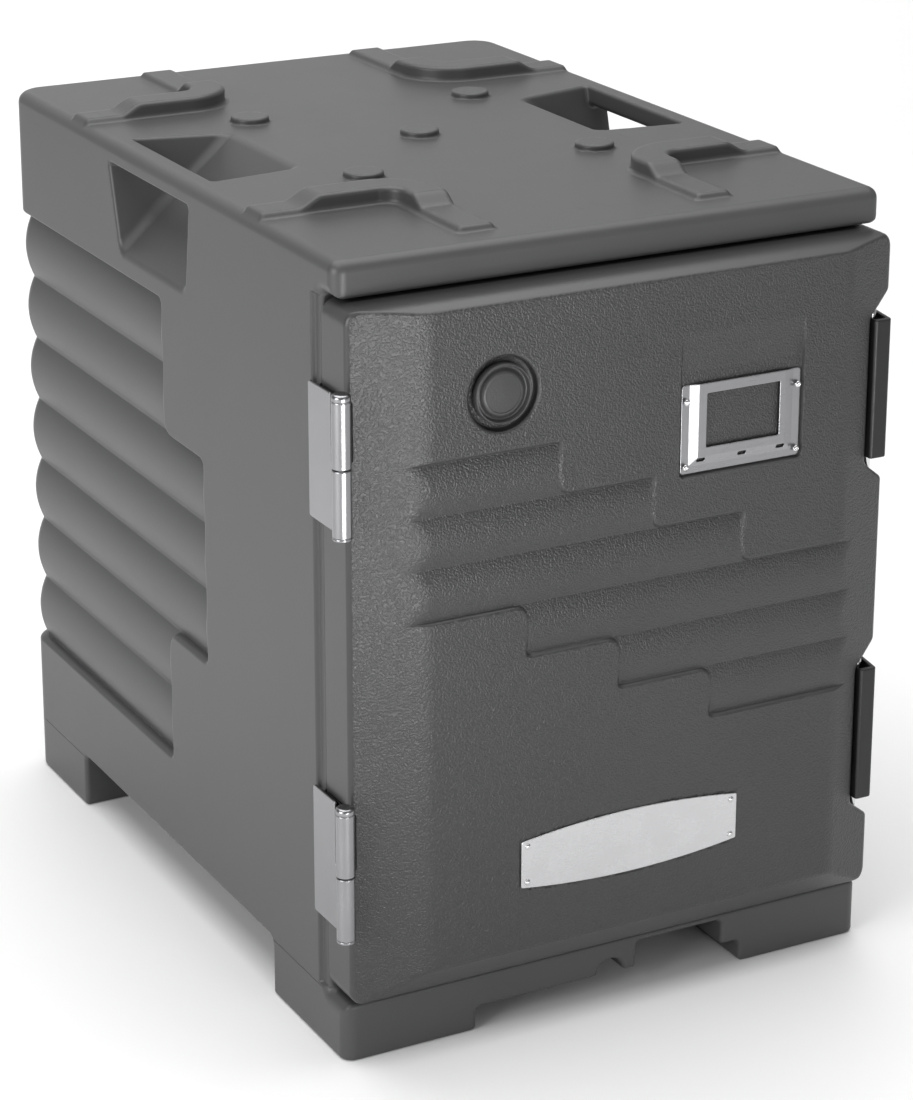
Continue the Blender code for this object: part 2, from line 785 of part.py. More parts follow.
def make_label_frame():
    back = Y_FACE + LABEL_DEPTH - GAP
    bevel = 0.0025
    x0, x1 = LABEL_X
    z0, z1 = LABEL_Z
    rings = [
        [(x, back, z) for x, z in rounded_rect(x0, x1, z0, z1, 0.002, 1)],
        [(x, back - 0.0012, z) for x, z in rounded_rect(x0, x1, z0, z1, 0.002, 1)],
        [
            (x, back - 0.0030, z)
            for x, z in rounded_rect(x0 + bevel, x1 - bevel, z0 + bevel, z1 - bevel, 0.002, 1)
        ],
    ]
    frame = loft("label_frame", rings, "steel")
    wx0, wx1 = LABEL_WIN_X
    wz0, wz1 = LABEL_WIN_Z
    flare = 0.004
    hole = loft(
        "window",
        [
            [(x, back + 0.01, z) for x, z in rounded_rect(wx0, wx1, wz0, wz1, 0.001, 1)],
            [(x, back - 0.0012, z) for x, z in rounded_rect(wx0, wx1, wz0, wz1, 0.001, 1)],
            [
                (x, back - 0.0048, z)
                for x, z in rounded_rect(wx0 - flare, wx1 + flare, wz0 - flare, wz1 + flare, 0.001, 1)
            ],
        ],
    )
    cut(frame, hole)
    for x in (wx0 - 0.004, (wx0 + wx1) / 2, wx1 + 0.002):
        left, right = x - 0.0035, x + 0.0035
        slot = [(left, z0 + 0.0085), (right, z0 + 0.0085), (right, z0 + 0.0110), (left, z0 + 0.0110)]
        cut(frame, prism("slot", "y", slot, -0.34, -0.31))
    for x, z in label_points():
        cut(frame, round_part("hole", "y", x, z, [(-0.34, 0.0016), (-0.31, 0.0016)], 10))
    seat = back - 0.0030 - GAP
    for (x, z), label in zip(label_points(), ("left_low", "left_high", "right_low", "right_high")):
        fastener("label_screw_" + label, "y", x, z, seat, -1, 0.0028, 0.0016, 0.0013, 0.0100)


def make_nameplate():
    back = Y_FACE + 0.0006 - GAP
    plate = prism("nameplate", "y", plate_outline(), back - PLATE_T, back, "steel")
    for x, z in rivet_points():
        cut(plate, round_part("hole", "y", x, z, [(-0.34, 0.0016), (-0.31, 0.0016)], 10))
    seat = back - PLATE_T - GAP
    for (x, z), label in zip(rivet_points(), ("left_low", "left_high", "right_low", "right_high")):
        fastener("nameplate_rivet_" + label, "y", x, z, seat, -1, 0.0025, 0.0012, 0.0013, 0.0070)


# ---- hinges ----


def hinge_screw_z(split):
    return (split - 0.0300, split + 0.0250)


def door_screw_z(split):
    return (split + 0.0130, split + 0.0350)


def countersunk(name, axis, a, b, face, into, kind="steel"):
    """Flush screw: the head lies in a 1.4 mm leaf, the shank goes on into the wall."""
    profile = [
        (face, 0.0030),
        (face + into * 0.0012, 0.0015),
        (face + into * 0.0110, 0.0015),
    ]
    return round_part(name, axis, a, b, profile, 10, kind)


def sunk_hole(axis, a, b, face, into):
    profile = [
        (face - into * 0.0010, 0.0045),
        (face + into * 0.0013, 0.0019),
        (face + into * 0.0060, 0.0019),
    ]
    return round_part("hole", axis, a, b, profile, 10)


def knuckle(label, low, high, ends):
    """Barrel of one hinge leaf; ends holds how far the radius draws in at the low and the high end."""
    low_in, high_in = ends
    profile = [(low, HINGE_R - low_in)]
    if low_in:
        profile.append((low + low_in, HINGE_R))
    if high_in:
        profile += [(high - high_in * 8 / 7, HINGE_R), (high - high_in * 3 / 7, HINGE_R - high_in * 2 / 7)]
    profile.append((high, HINGE_R - high_in))
    return round_part(label, "z", HINGE_X, HINGE_Y, profile, 20)


def pin_bore(low, high):
    radius = HINGE_PIN_R + GAP
    return round_part("bore", "z", HINGE_X, HINGE_Y, [(low, radius), (high, radius)], 16)


def make_hinge(label, split):
    low, high = (split + z for z in HINGE_LEAF_Z)
    x0, x1 = HINGE_PLATE_X
    front, back = HINGE_PLATE_Y
    f0, f1 = HINGE_FLANGE_Y
    x2 = HINGE_FLANGE_X
    tee = [(x0, back), (x0, front), (x1, front), (x1, f0), (x2, f0), (x2, f1), (x1, f1), (x1, back)]
    leaf = prism(label + "_hinge_body_leaf", "z", tee, low, high, "steel")
    web = box("web", (x0, HINGE_WEB_Y[0], low), (x1, HINGE_WEB_Y[1], split - HINGE_STEP))
    join(leaf, web, knuckle("knuckle", split - 0.0525, split - BARREL_GAP, (0.0010, 0.0)))
    cut(leaf, pin_bore(split - 0.0500, split + 0.02))
    for z in hinge_screw_z(split):
        cut(leaf, sunk_hole("y", HINGE_SCREW_X, z, f0, 1))
        where = "low" if z < split else "high"
        countersunk(label + "_hinge_body_screw_" + where, "y", HINGE_SCREW_X, z, f0, 1)

    d0, d1 = DOOR_LEAF_X
    leaf_low = (d0, DOOR_LEAF_Y[0], split + HINGE_STEP)
    door_leaf = box(label + "_hinge_door_leaf", leaf_low, (d1, DOOR_LEAF_Y[1], high), "steel")
    join(door_leaf, knuckle("knuckle", split + BARREL_GAP, split + BARREL_TOP, (0.0, 0.0035)))
    cut(door_leaf, pin_bore(split - 0.02, split + 0.0500))
    for z in door_screw_z(split):
        cut(door_leaf, sunk_hole("x", DOOR_SCREW_Y, z, d0, 1))
        where = "low" if z < split + 0.02 else "high"
        countersunk(label + "_hinge_door_screw_" + where, "x", DOOR_SCREW_Y, z, d0, 1)
    pin = [
        (split - 0.0497, HINGE_PIN_R),
        (split + 0.0470, HINGE_PIN_R),
        (split + 0.0490, HINGE_PIN_R - 0.0015),
    ]
    round_part(label + "_hinge_pin", "z", HINGE_X, HINGE_Y, pin, 16, "steel")


# ---- latches ----
def latch_hole(radius, middle):
    return round_part("bore", "z", LATCH_X, LATCH_Y, [(middle - 0.07, radius), (middle + 0.07, radius)], 12)


def lever_outline():
    """Hooked lever as x, y: a lipped hook in front of the keeper pin, an arm past the body, a pivot barrel."""
    front, inner = LEVER_FRONT_Y
    tip, tip_in = LEVER_TIP_X
    outline = [(tip + 0.0015, front), (0.2205, front), (0.2225, front + 0.0020)]
    outline += [(0.2262, -0.2945), (0.2330, -0.2700), (0.2420, -0.2350)]
    outline += arc(LATCH_X, LATCH_Y, LATCH_BARREL, 0, 180, 6)
    outline += [(0.2325, -0.2510), (0.2288, -0.2600), (0.2288, -0.2690), (0.2228, -0.2930)]
    outline += [(0.2192, inner), (tip_in, inner), (tip_in, LEVER_LIP_Y), (tip, LEVER_LIP_Y)]
    outline.append((tip, front + 0.0015))
    return outline


def bracket_ear():
    ear = [(0.2300, LATCH_Y - 0.0060), (LATCH_X, LATCH_Y - 0.0060)]
    ear += arc(LATCH_X - 0.0005, LATCH_Y, EAR_R, -60, 60, 4)
    return ear + [(LATCH_X, LATCH_Y + 0.0060), (0.2300, LATCH_Y + 0.0060)]


def make_latch(label, middle):
    plate = box(
        label + "_latch_bracket",
        (HALF_W + GAP, BRACKET_Y[0], middle - BRACKET_HALF),
        (BRACKET_OUT, BRACKET_Y[1], middle + BRACKET_HALF),
        "nylon",
    )
    for end in (-1, 1):
        a = middle + end * (LATCH_HALF + 0.0007)
        b = middle + end * BRACKET_HALF
        join(plate, prism("ear", "z", bracket_ear(), min(a, b), max(a, b)))
    cut(plate, latch_hole(LATCH_PIN_R + GAP, middle))
    for dz, where in zip(LATCH_SCREWS, ("low", "high")):
        hole = [(0.22, 0.0019), (0.24, 0.0019)]
        cut(plate, round_part("hole", "x", LATCH_SCREW_Y, middle + dz, hole, 10))
        place_on = (LATCH_SCREW_Y, middle + dz, BRACKET_OUT + GAP, 1)
        fastener(label + "_latch_screw_" + where, "x", *place_on, 0.0036, 0.0020, 0.0015, 0.0125)
    lever = prism(
        label + "_latch_lever", "z", lever_outline(), middle - LATCH_HALF, middle + LATCH_HALF, "nylon"
    )
    cut(lever, latch_hole(LATCH_PIN_R + GAP, middle))
    pin = [
        (middle - 0.0625, LATCH_PIN_R - 0.0010),
        (middle - 0.0618, LATCH_PIN_R),
        (middle + 0.0618, LATCH_PIN_R),
        (middle + 0.0625, LATCH_PIN_R - 0.0010),
    ]
    round_part(label + "_latch_pivot_pin", "z", LATCH_X, LATCH_Y, pin, 12, "steel")


def set_pivots():
    """Moving pieces turn about their own origins."""
    pivots = {
        "door_shell": (HINGE_X, HINGE_Y, 0.0),
        "vent_cap": (VENT_X, VENT_FLOOR, VENT_Z),
        "upper_latch_lever": (LATCH_X, LATCH_Y, LATCH_Z["upper"]),
        "lower_latch_lever": (LATCH_X, LATCH_Y, LATCH_Z["lower"]),
    }
    for name, at in pivots.items():
        obj = bpy.data.objects[name]
        obj.data.transform(Matrix.Translation(-Vector(at)))
        obj.location = at


def main():
    for obj in list(bpy.data.objects):
        bpy.data.objects.remove(obj)
    make_body()
    make_door()
    make_vent()
    make_label_frame()
    make_nameplate()
    for label, split in HINGE_SPLITS.items():
        make_hinge(label, split)
    for label, middle in LATCH_Z.items():
        make_latch(label, middle)
    set_pivots()


main()
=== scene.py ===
"""Looks of an insulated food carrier: moulded shell and door, hinges, latches, fittings and studio."""

import json
import math

import bmesh
import bpy
import numpy as np
from mathutils import Matrix, Vector


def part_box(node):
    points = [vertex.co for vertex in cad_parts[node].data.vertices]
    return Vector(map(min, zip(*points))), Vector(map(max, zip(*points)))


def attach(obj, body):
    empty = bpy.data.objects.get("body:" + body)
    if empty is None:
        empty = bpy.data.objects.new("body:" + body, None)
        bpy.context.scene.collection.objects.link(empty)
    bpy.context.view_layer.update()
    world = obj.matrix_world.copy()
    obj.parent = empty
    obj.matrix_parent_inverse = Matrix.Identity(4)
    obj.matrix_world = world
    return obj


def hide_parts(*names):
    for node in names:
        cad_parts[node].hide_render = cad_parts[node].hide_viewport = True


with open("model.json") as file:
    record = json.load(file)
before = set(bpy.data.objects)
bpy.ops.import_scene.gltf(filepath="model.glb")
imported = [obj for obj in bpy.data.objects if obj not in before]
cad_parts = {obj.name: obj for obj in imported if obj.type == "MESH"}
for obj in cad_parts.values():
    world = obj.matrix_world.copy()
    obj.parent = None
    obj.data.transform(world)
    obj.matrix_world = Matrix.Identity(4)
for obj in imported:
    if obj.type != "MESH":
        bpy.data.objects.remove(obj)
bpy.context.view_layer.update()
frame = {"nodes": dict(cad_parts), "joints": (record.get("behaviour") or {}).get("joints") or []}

# ---- places, from the frame ----
JOINTS = {joint["name"]: joint["pos_m"] for joint in frame["joints"]}
BODY_LOW, BODY_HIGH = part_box("body_shell")
DOOR_LOW, DOOR_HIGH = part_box("door_shell")
FRAME_LOW, FRAME_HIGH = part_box("label_frame")
PLATE_LOW, PLATE_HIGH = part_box("nameplate")
SEAL_LOW, SEAL_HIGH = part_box("door_gasket")
FOAM_LOW, FOAM_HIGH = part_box("body_foam")
HINGE_X, HINGE_Y, _ = JOINTS["door_swing"]
VENT_X, VENT_FLOOR, VENT_Z = JOINTS["vent_turn"]
LATCH_X, LATCH_Y, _ = JOINTS["upper_latch_turn"]
LATCH_MIDDLES = {"upper": JOINTS["upper_latch_turn"][2], "lower": JOINTS["lower_latch_turn"][2]}
PIN_BELOW_SPLIT = 0.0497
HINGE_SPLITS = {side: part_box(side + "_hinge_pin")[0].z + PIN_BELOW_SPLIT for side in ("upper", "lower")}

# ---- body sizes, metres ----
HALF_W = BODY_HIGH.x
Y_BACK = BODY_HIGH.y
Y_BASE = BODY_LOW.y
LUG_HIGH = 0.0128
LUG_LOW = 0.0045
LUG_ROOT = 0.015
Z_ROOF = BODY_HIGH.z - LUG_HIGH
Z_LIP = 0.585
Z_BASE = 0.0465
Z_UNDER = 0.047
Y_LIP = -0.2935
Y_SIDE = -0.2565
Y_JAMB = -0.2695
JAMB_IN = 0.003
ROOF_MID_Y = 0.0165
BACK_R = 0.025
FRONT_R = 0.010
JAMB_R = 0.0025
ROOF_R = 0.009
EDGE_R = 0.003
SKIN = 0.0035               # wall of the shells round the foam
THROAT_R = 0.0055           # fillet between the jamb and the two lips

ROLL_BOTTOM = 0.1245
ROLL_TOP = 0.5067
ROLLS = 7
ROLL_PITCH = (ROLL_TOP - ROLL_BOTTOM) / ROLLS
ROLL_DEPTH = 0.0075
ROLL_CREST = 0.0012
ROLL_EDGE = 0.0045
SHORT_Y = 0.014
LONG_Y = -0.060
LONG_FIRST, LONG_LAST = 2, 5

CAVITY_HALF = 0.168
CAVITY_Z = (0.085, 0.565)
CAVITY_BACK = 0.272
RUNNERS = 11
RUNNER_FIRST = 0.125
RUNNER_PITCH = 0.040
RUNNER_OUT = 0.016
RUNNER_FRONT = -0.250
RUNNER_ROOT = 0.0105
RUNNER_TIP = 0.0045

FOOT_X = 0.117
FOOT_Y = (-0.175, 0.207)
SKIRT_Z = 0.0185
SKIRT_BACK = -0.265
CUTAWAY_X = (0.0224, 0.100)
CUTAWAY_Z = 0.040
NOTCH_R = 0.012

BAR_IN = 0.2065
BAR_BOTTOM = 0.5955
POCKET_TOP_X = 0.132
POCKET_SLOPE = 0.9005
POCKET_RISE = 0.0508        # square to the floor, up to the roof edge
POCKET_Y = (-0.0455, 0.109)
POCKET_FLOOR_Y = (-0.036, 0.090)

PAD_R = 0.0155
PAD_H = 0.0052
PAD_X = 0.1005
PAD_Y = 0.1025
LUG_Y = 0.1665
LUG_X = 0.099
LUG_HALF = 0.0145
LUG_R = 0.030
LUG_OUT = 0.2215
LUG_ENDS = (-0.263, 0.314)

BODY_PORT = (0.0, 0.100, 0.012, 0.0535)   # x, y, radius, depth of the foaming port underneath
DOOR_PORT = (0.0, 0.300, 0.010)           # x, z, radius of the one in the door panel

# ---- door sizes ----
DOOR_HALF = DOOR_HIGH.x
Y_FACE = DOOR_LOW.y
Y_PANEL = DOOR_HIGH.y
Y_DOOR_BACK = -0.2715
Y_DOOR_EDGE = -0.310
FACE_X = (-0.171, 0.181)
FACE_Z = (0.073, 0.5765)
PANEL_HALF = 0.158
PANEL_Z = (0.095, 0.555)
GROOVE_X = (0.172, 0.181)
GROOVE_Z = ((0.080, 0.570), (0.071, 0.579))
GROOVE_Y = -0.2765
SEAL_BULB_R = 0.0031
PANEL_ROOT = -0.295        # the panel is only joined from here back
DOOR_PORT_END = -0.264
WAVE_ROWS = 6
WAVE_TOP = 0.4654
WAVE_PITCH = 0.0393
WAVE_DEPTH = 0.0032
WAVE_CREST = 0.0004
WAVE_EDGE = 0.0035
WAVES_LEFT = (-0.0607, 0.0174, 0.0953)    # right ends of the three rows from the left edge
WAVES_RIGHT = (-0.0926, -0.0150, 0.0648)  # left ends of the three rows from the right edge
LABEL_DEPTH = 0.0035
LABEL_SIDE_Z = 0.502
LABEL_RAMP_TOP = 0.532
WINDOW_X = (0.0585, 0.1215)
WINDOW_Z = (0.4435, 0.4850)
PLATE_DEPTH = 0.0006
PLATE_END_HALF = 0.0186     # half the height of the nameplate's straight ends
DISH_R = 0.0277
NOTCH_FLOOR_X = 0.2055
NOTCH_OPEN_X = 0.2600
VENT_BORE = 0.0070
HINGE_R = 0.0070
BARREL_GAP = 0.0004
PIN_BORE_R = 0.0038
FLANGE_SCREW_X = -0.2050
LEAF_SCREW_Y = -0.2920
LATCH_BORE_R = 0.0028


# ---- shaping by distance: negative inside, positive outside ----
def both(a, b, r):
    """What two shapes share, with the edge between them rounded to radius r."""
    return np.minimum(-r, np.maximum(a, b)) + np.hypot(np.maximum(a + r, 0), np.maximum(b + r, 0))


def either(a, b, r):
    """Two shapes joined, with a fillet of radius r in the corner."""
    return np.maximum(r, np.minimum(a, b)) - np.hypot(np.maximum(r - a, 0), np.maximum(r - b, 0))


def less(a, b, r):
    """Shape a with shape b taken out, the rim rounded to radius r."""
    return both(a, -b, r)


def ease(t):
    t = np.clip(t, 0, 1)
    return t * t * (3 - 2 * t)


def between(v, low, high):
    return np.maximum(low - v, v - high)


def soft_box(u, v, u0, u1, v0, v1, r):
    """Rectangle with corners of radius r."""
    a = np.abs(u - (u0 + u1) / 2) - (u1 - u0) / 2 + r
    b = np.abs(v - (v0 + v1) / 2) - (v1 - v0) / 2 + r
    return np.hypot(np.maximum(a, 0), np.maximum(b, 0)) + np.minimum(np.maximum(a, b), 0) - r


def outline_field(outline, u, v):
    """Distance to a closed outline of straight stretches."""
    nearest = np.inf
    inside = False
    for (au, av), (bu, bv) in zip(outline, outline[1:] + outline[:1]):
        du, dv = bu - au, bv - av
        t = np.clip(((u - au) * du + (v - av) * dv) / (du * du + dv * dv), 0, 1)
        nearest = np.minimum(nearest, np.hypot(u - au - t * du, v - av - t * dv))
        if dv:
            inside = inside ^ (((av > v) != (bv > v)) & (u < du * (v - av) / dv + au))
    return np.where(inside, -nearest, nearest)


def softened(outline, radius, steps=4):
    """The same outline with each corner turned into a short curve."""
    points = []
    count = len(outline)
    for i, corner in enumerate(outline):
        here = Vector(corner)
        before = Vector(outline[i - 1]) - here
        after = Vector(outline[(i + 1) % count]) - here
        reach = min(radius, before.length * 0.45, after.length * 0.45)
        start = here + before.normalized() * reach
        end = here + after.normalized() * reach
        for step in range(steps + 1):
            t = step / steps
            points.append(tuple(start * (1 - t) ** 2 + here * (2 * t * (1 - t)) + end * t * t))
    return points


# ---- from a field to a mesh ----
def stations(low, high, step, places=(), close=None, reach=0.0):
    """Places where a shape is sampled: every step, and closer together within reach of the named places."""
    made = [low - 1.5 * step]
    while made[-1] < high + 1.5 * step:
        near = any(abs(place - made[-1]) < reach for place in places)
        made.append(made[-1] + (close if near else step))
    return np.array(made)


def box_grid(low, high, *steps):
    """Even stations along x, y and z through a box."""
    return tuple(stations(low[i], high[i], step) for i, step in enumerate(steps))


def sample(field, xs, ys, zs):
    values = np.empty((len(xs), len(ys), len(zs)), np.float32)
    for i in range(0, len(xs), 8):
        part = field(xs[i : i + 8, None, None], ys[None, :, None], zs[None, None, :])
        values[i : i + 8] = part
    return values


def net(values, grid):
    """One point in every cell that the surface crosses, and a face round every edge that it crosses."""
    inside = values < 0
    counts = np.zeros([n - 1 for n in values.shape], np.int8)
    for i in (0, 1):
        for j in (0, 1):
            for k in (0, 1):
                nx, ny, nz = counts.shape
                counts += inside[i : i + nx, j : j + ny, k : k + nz]
    mixed = (counts > 0) & (counts < 8)
    cells = np.argwhere(mixed)
    number = np.full(mixed.shape, -1, np.int32)
    number[mixed] = np.arange(len(cells))
    total = np.zeros((len(cells), 3))
    crossings = np.zeros(len(cells))
    for axis in range(3):
        others = [a for a in range(3) if a != axis]
        for first in (0, 1):
            for second in (0, 1):
                start = cells.copy()
                start[:, others[0]] += first
                start[:, others[1]] += second
                end = start.copy()
                end[:, axis] += 1
                a = values[tuple(start.T)]
                b = values[tuple(end.T)]
                hit = (a < 0) != (b < 0)
                t = a[hit] / (a[hit] - b[hit])
                for side in range(3):
                    low = grid[side][start[hit, side]]
                    high = grid[side][end[hit, side]]
                    total[hit, side] += low + (high - low) * t
                crossings[hit] += 1
    points = total / crossings[:, None]
    faces = []
    for axis in range(3):
        u, v = (axis + 1) % 3, (axis + 2) % 3
        ahead = np.take(inside, range(1, inside.shape[axis]), axis)
        behind = np.take(inside, range(inside.shape[axis] - 1), axis)
        edges = np.argwhere(ahead != behind)
        leaving = behind[tuple(edges.T)]
        ring = []
        for du, dv in ((-1, -1), (0, -1), (0, 0), (-1, 0)):
            cell = edges.copy()
            cell[:, u] += du
            cell[:, v] += dv
            ring.append(number[tuple(cell.T)])
        quads = np.stack(ring, 1)
        quads[~leaving] = quads[~leaving][:, ::-1]
        faces.append(quads)
    return points, np.concatenate(faces)


def settle(field, points, reach, rounds=3):
    """Draws points onto the surface and returns them with the surface's own normals."""
    nudge = 1.5e-4
    for turn in range(rounds + 1):
        value = field(*points.T)
        slope = np.stack(
            [
                field(*(points + nudge * axis).T) - field(*(points - nudge * axis).T)
                for axis in np.eye(3)
            ],
            1,
        ) / (2 * nudge)
        size = np.maximum(np.linalg.norm(slope, axis=1), 1e-3)
        normals = slope / size[:, None]
        if turn < rounds:
            move = np.clip(value / size, -reach, reach)
            points = points - normals * move[:, None]
    return points, normals


def added(name, data):
    obj = bpy.data.objects.new(name, data)
    bpy.context.scene.collection.objects.link(obj)
    return obj


def mesh_of(name, points, faces):
    mesh = bpy.data.meshes.new(name)
    mesh.vertices.add(len(points))
    mesh.vertices.foreach_set("co", points.astype(np.float32).ravel())
    mesh.loops.add(faces.size)
    mesh.loops.foreach_set("vertex_index", faces.astype(np.int32).ravel())
    mesh.polygons.add(len(faces))
    mesh.polygons.foreach_set("loop_start", np.arange(0, faces.size, faces.shape[1], dtype=np.int32))
    mesh.update(calc_edges=True)
    return mesh


def moulded(name, field, grid, most, surface, body, slot, *nodes):
    """A closed piece whose surface is where the field is zero, with at most so many triangles."""
    points, faces = net(sample(field, *grid), grid)
    obj = added(name, mesh_of(name, points, faces))
    if 2 * len(faces) > most:
        thin = obj.modifiers.new("thin", "DECIMATE")
        thin.ratio = most / (2 * len(faces))
        thin.use_collapse_triangulate = True
        graph = bpy.context.evaluated_depsgraph_get()
        slim = bpy.data.meshes.new_from_object(obj.evaluated_get(graph))
        obj.modifiers.clear()
        obj.data = slim
        slim.name = name
    mesh = obj.data
    places = np.empty(len(mesh.vertices) * 3, np.float32)
    mesh.vertices.foreach_get("co", places)
    reach = min(float(np.min(np.diff(axis))) for axis in grid) * 0.6
    places, normals = settle(field, places.reshape(-1, 3).astype(float), reach)
    mesh.vertices.foreach_set("co", places.astype(np.float32).ravel())
    mesh.polygons.foreach_set("use_smooth", np.ones(len(mesh.polygons), bool))
    mesh.update()
    mesh.normals_split_custom_set_from_vertices(normals.astype(np.float32))
    return dressed(obj, surface, body, slot, *nodes)


def dressed(obj, surface, body, slot, *nodes):
    obj.data.materials.clear()
    obj.data.materials.append(surface)
    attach(obj, body)
    if nodes:
        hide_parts(*nodes)
    return obj


def turned(name, axis, centre, profile, surface, body, slot, *nodes, segments=72):
    """A piece turned on a lathe: profile holds (distance along the axis, radius), closed by flat ends."""
    a, b = centre
    order = {"x": (1, 2, 0), "y": (0, 2, 1), "z": (0, 1, 2)}[axis]
    turn = np.arange(segments) * 2 * math.pi / segments
    rings = []
    for along, radius in profile:
        across = [a + radius * np.cos(turn), b + radius * np.sin(turn)]
        local = np.stack([*across, np.full(segments, along)], 1)
        placed = np.empty_like(local)
        for source, target in enumerate(order):
            placed[:, target] = local[:, source]
        rings.append(placed)
    points = np.concatenate(rings)
    faces = []
    for r in range(len(rings) - 1):
        for i in range(segments):
            j = (i + 1) % segments
            here, above = r * segments, (r + 1) * segments
            faces.append((here + i, here + j, above + j, above + i))
    last = (len(rings) - 1) * segments
    faces.append(tuple(reversed(range(segments))))
    faces.append(tuple(range(last, last + segments)))
    mesh = bpy.data.meshes.new(name)
    mesh.from_pydata([tuple(p) for p in points], [], faces)
    mesh.validate()
    obj = added(name, mesh)
    outward(mesh)
    mesh.polygons.foreach_set("use_smooth", np.ones(len(mesh.polygons), bool))
    mesh.set_sharp_from_angle(angle=math.radians(35))
    return dressed(obj, surface, body, slot, *nodes)


def outward(mesh):
    bm = bmesh.new()
    bm.from_mesh(mesh)
    bmesh.ops.recalc_face_normals(bm, faces=bm.faces)
    bm.to_mesh(mesh)
    bm.free()


# ---- shader groups ----
def new_group(name, inputs, outputs):
    group = bpy.data.node_groups.new(name, "ShaderNodeTree")
    for label, value in inputs:
        socket = group.interface.new_socket(label, in_out="INPUT", socket_type="NodeSocketFloat")
        socket.default_value = value
    for label in outputs:
        group.interface.new_socket(label, in_out="OUTPUT", socket_type="NodeSocketFloat")
    return group, group.nodes.new("NodeGroupInput").outputs, group.nodes.new("NodeGroupOutput").inputs


def put(tree, kind, settings=(), **sockets):
    """Adds a node, with its settings as pairs and its sockets by name: a number, a colour or a link."""
    node = tree.nodes.new(kind)
    for key, value in settings:
        setattr(node, key, value)
    for label, value in sockets.items():
        socket = node.inputs[int(label[1:])] if label[0] == "_" else node.inputs[label.replace("_", " ")]
        if isinstance(value, bpy.types.NodeSocket):
            tree.links.new(value, socket)
        else:
            socket.default_value = value
    return node


def maths(tree, operation, *values, clamp=False):
    settings = [("operation", operation), ("use_clamp", clamp)]
    return put(tree, "ShaderNodeMath", settings, **{f"_{i}": v for i, v in enumerate(values)}).outputs[0]


def noise(tree, where, scale, detail=2.0, rough=0.5):
    grit = put(tree, "ShaderNodeTexNoise", Vector=where, Scale=scale, Detail=detail, Roughness=rough)
    return grit.outputs["Fac"]


def ramp(tree, value, low, high, to_low=0.0, to_high=1.0):
    return put(
        tree,
        "ShaderNodeMapRange",
        [("interpolation_type", "SMOOTHSTEP")],
        Value=value,
        From_Min=low,
        From_Max=high,
        To_Min=to_low,
        To_Max=to_high,
    ).outputs[0]


def spot(tree):
    return put(tree, "ShaderNodeTexCoord").outputs["Object"]


def make_leather_grain():
    """Moulded pebble grain: rounded bumps with fine valleys between them."""
    inputs = [("Bumps per metre", 620.0), ("Amount", 1.0)]
    group, given, out = new_group("leather_grain", inputs, ["Height", "Valley"])
    where = spot(group)
    warp = put(group, "ShaderNodeTexNoise", Vector=where, Scale=300.0, Detail=1.0)
    kind = "ShaderNodeVectorMath"
    shift = put(group, kind, [("operation", "SCALE")], _0=warp.outputs["Color"], Scale=0.0022).outputs[0]
    moved = put(group, kind, [("operation", "ADD")], _0=where, _1=shift).outputs[0]
    cells = put(
        group,
        "ShaderNodeTexVoronoi",
        [("feature", "SMOOTH_F1")],
        Vector=moved,
        Scale=given["Bumps per metre"],
        Smoothness=0.55,
    ).outputs["Distance"]
    bump = ramp(group, cells, 0.15, 0.80, 1.0, 0.0)
    speckle = noise(group, where, 1500.0, 2.0)
    height = maths(group, "MULTIPLY_ADD", speckle, 0.45, bump)
    group.links.new(maths(group, "MULTIPLY", height, given["Amount"]), out["Height"])
    # Valley is 1 in the hollows between bumps; the moulded plastic uses it to darken its colour there as
    # painted shade
    valley_shade = ramp(group, cells, 0.45, 0.85)
    group.links.new(maths(group, "MULTIPLY", valley_shade, given["Amount"]), out["Valley"])
    return group


def make_handling():
    """Slow mottling, fine speckle and faint scuffs that break up a plain moulded colour."""
    inputs = [("Cloud scale", 9.0), ("Scuffs", 0.5)]
    group, given, out = new_group("handling", inputs, ["Cloud", "Scuff", "Speck"])
    where = spot(group)
    group.links.new(noise(group, where, given["Cloud scale"], 5.0, 0.6), out["Cloud"])
    stretch = put(group, "ShaderNodeMapping", _3=(60.0, 14.0, 230.0), Vector=where).outputs[0]
    lines = ramp(group, noise(group, stretch, 1.0, 3.0, 0.7), 0.66, 0.80)
    group.links.new(maths(group, "MULTIPLY", lines, given["Scuffs"]), out["Scuff"])
    group.links.new(noise(group, where, 900.0, 3.0, 0.7), out["Speck"])
    return group


def make_brushing():
    """Fine drawn lines of rolled steel along Z, or along X where Lengthwise is 1, with faint smears."""
    group, given, out = new_group("brushing", [("Lengthwise", 0.0), ("Strength", 1.0)], ["Line", "Smear"])
    where = spot(group)
    upright = put(group, "ShaderNodeMapping", _3=(2600.0, 2600.0, 45.0), Vector=where).outputs[0]
    level = put(group, "ShaderNodeMapping", _3=(45.0, 2600.0, 2600.0), Vector=where).outputs[0]
    first = noise(group, upright, 1.0, 3.0, 0.7)
    second = noise(group, level, 1.0, 3.0, 0.7)
    mixed = put(group, "ShaderNodeMix", Factor=given["Lengthwise"], _2=first, _3=second).outputs[0]
    centred = maths(group, "SUBTRACT", mixed, 0.5)
    group.links.new(maths(group, "MULTIPLY", centred, given["Strength"]), out["Line"])
    group.links.new(noise(group, where, 38.0, 4.0, 0.6), out["Smear"])
    return group


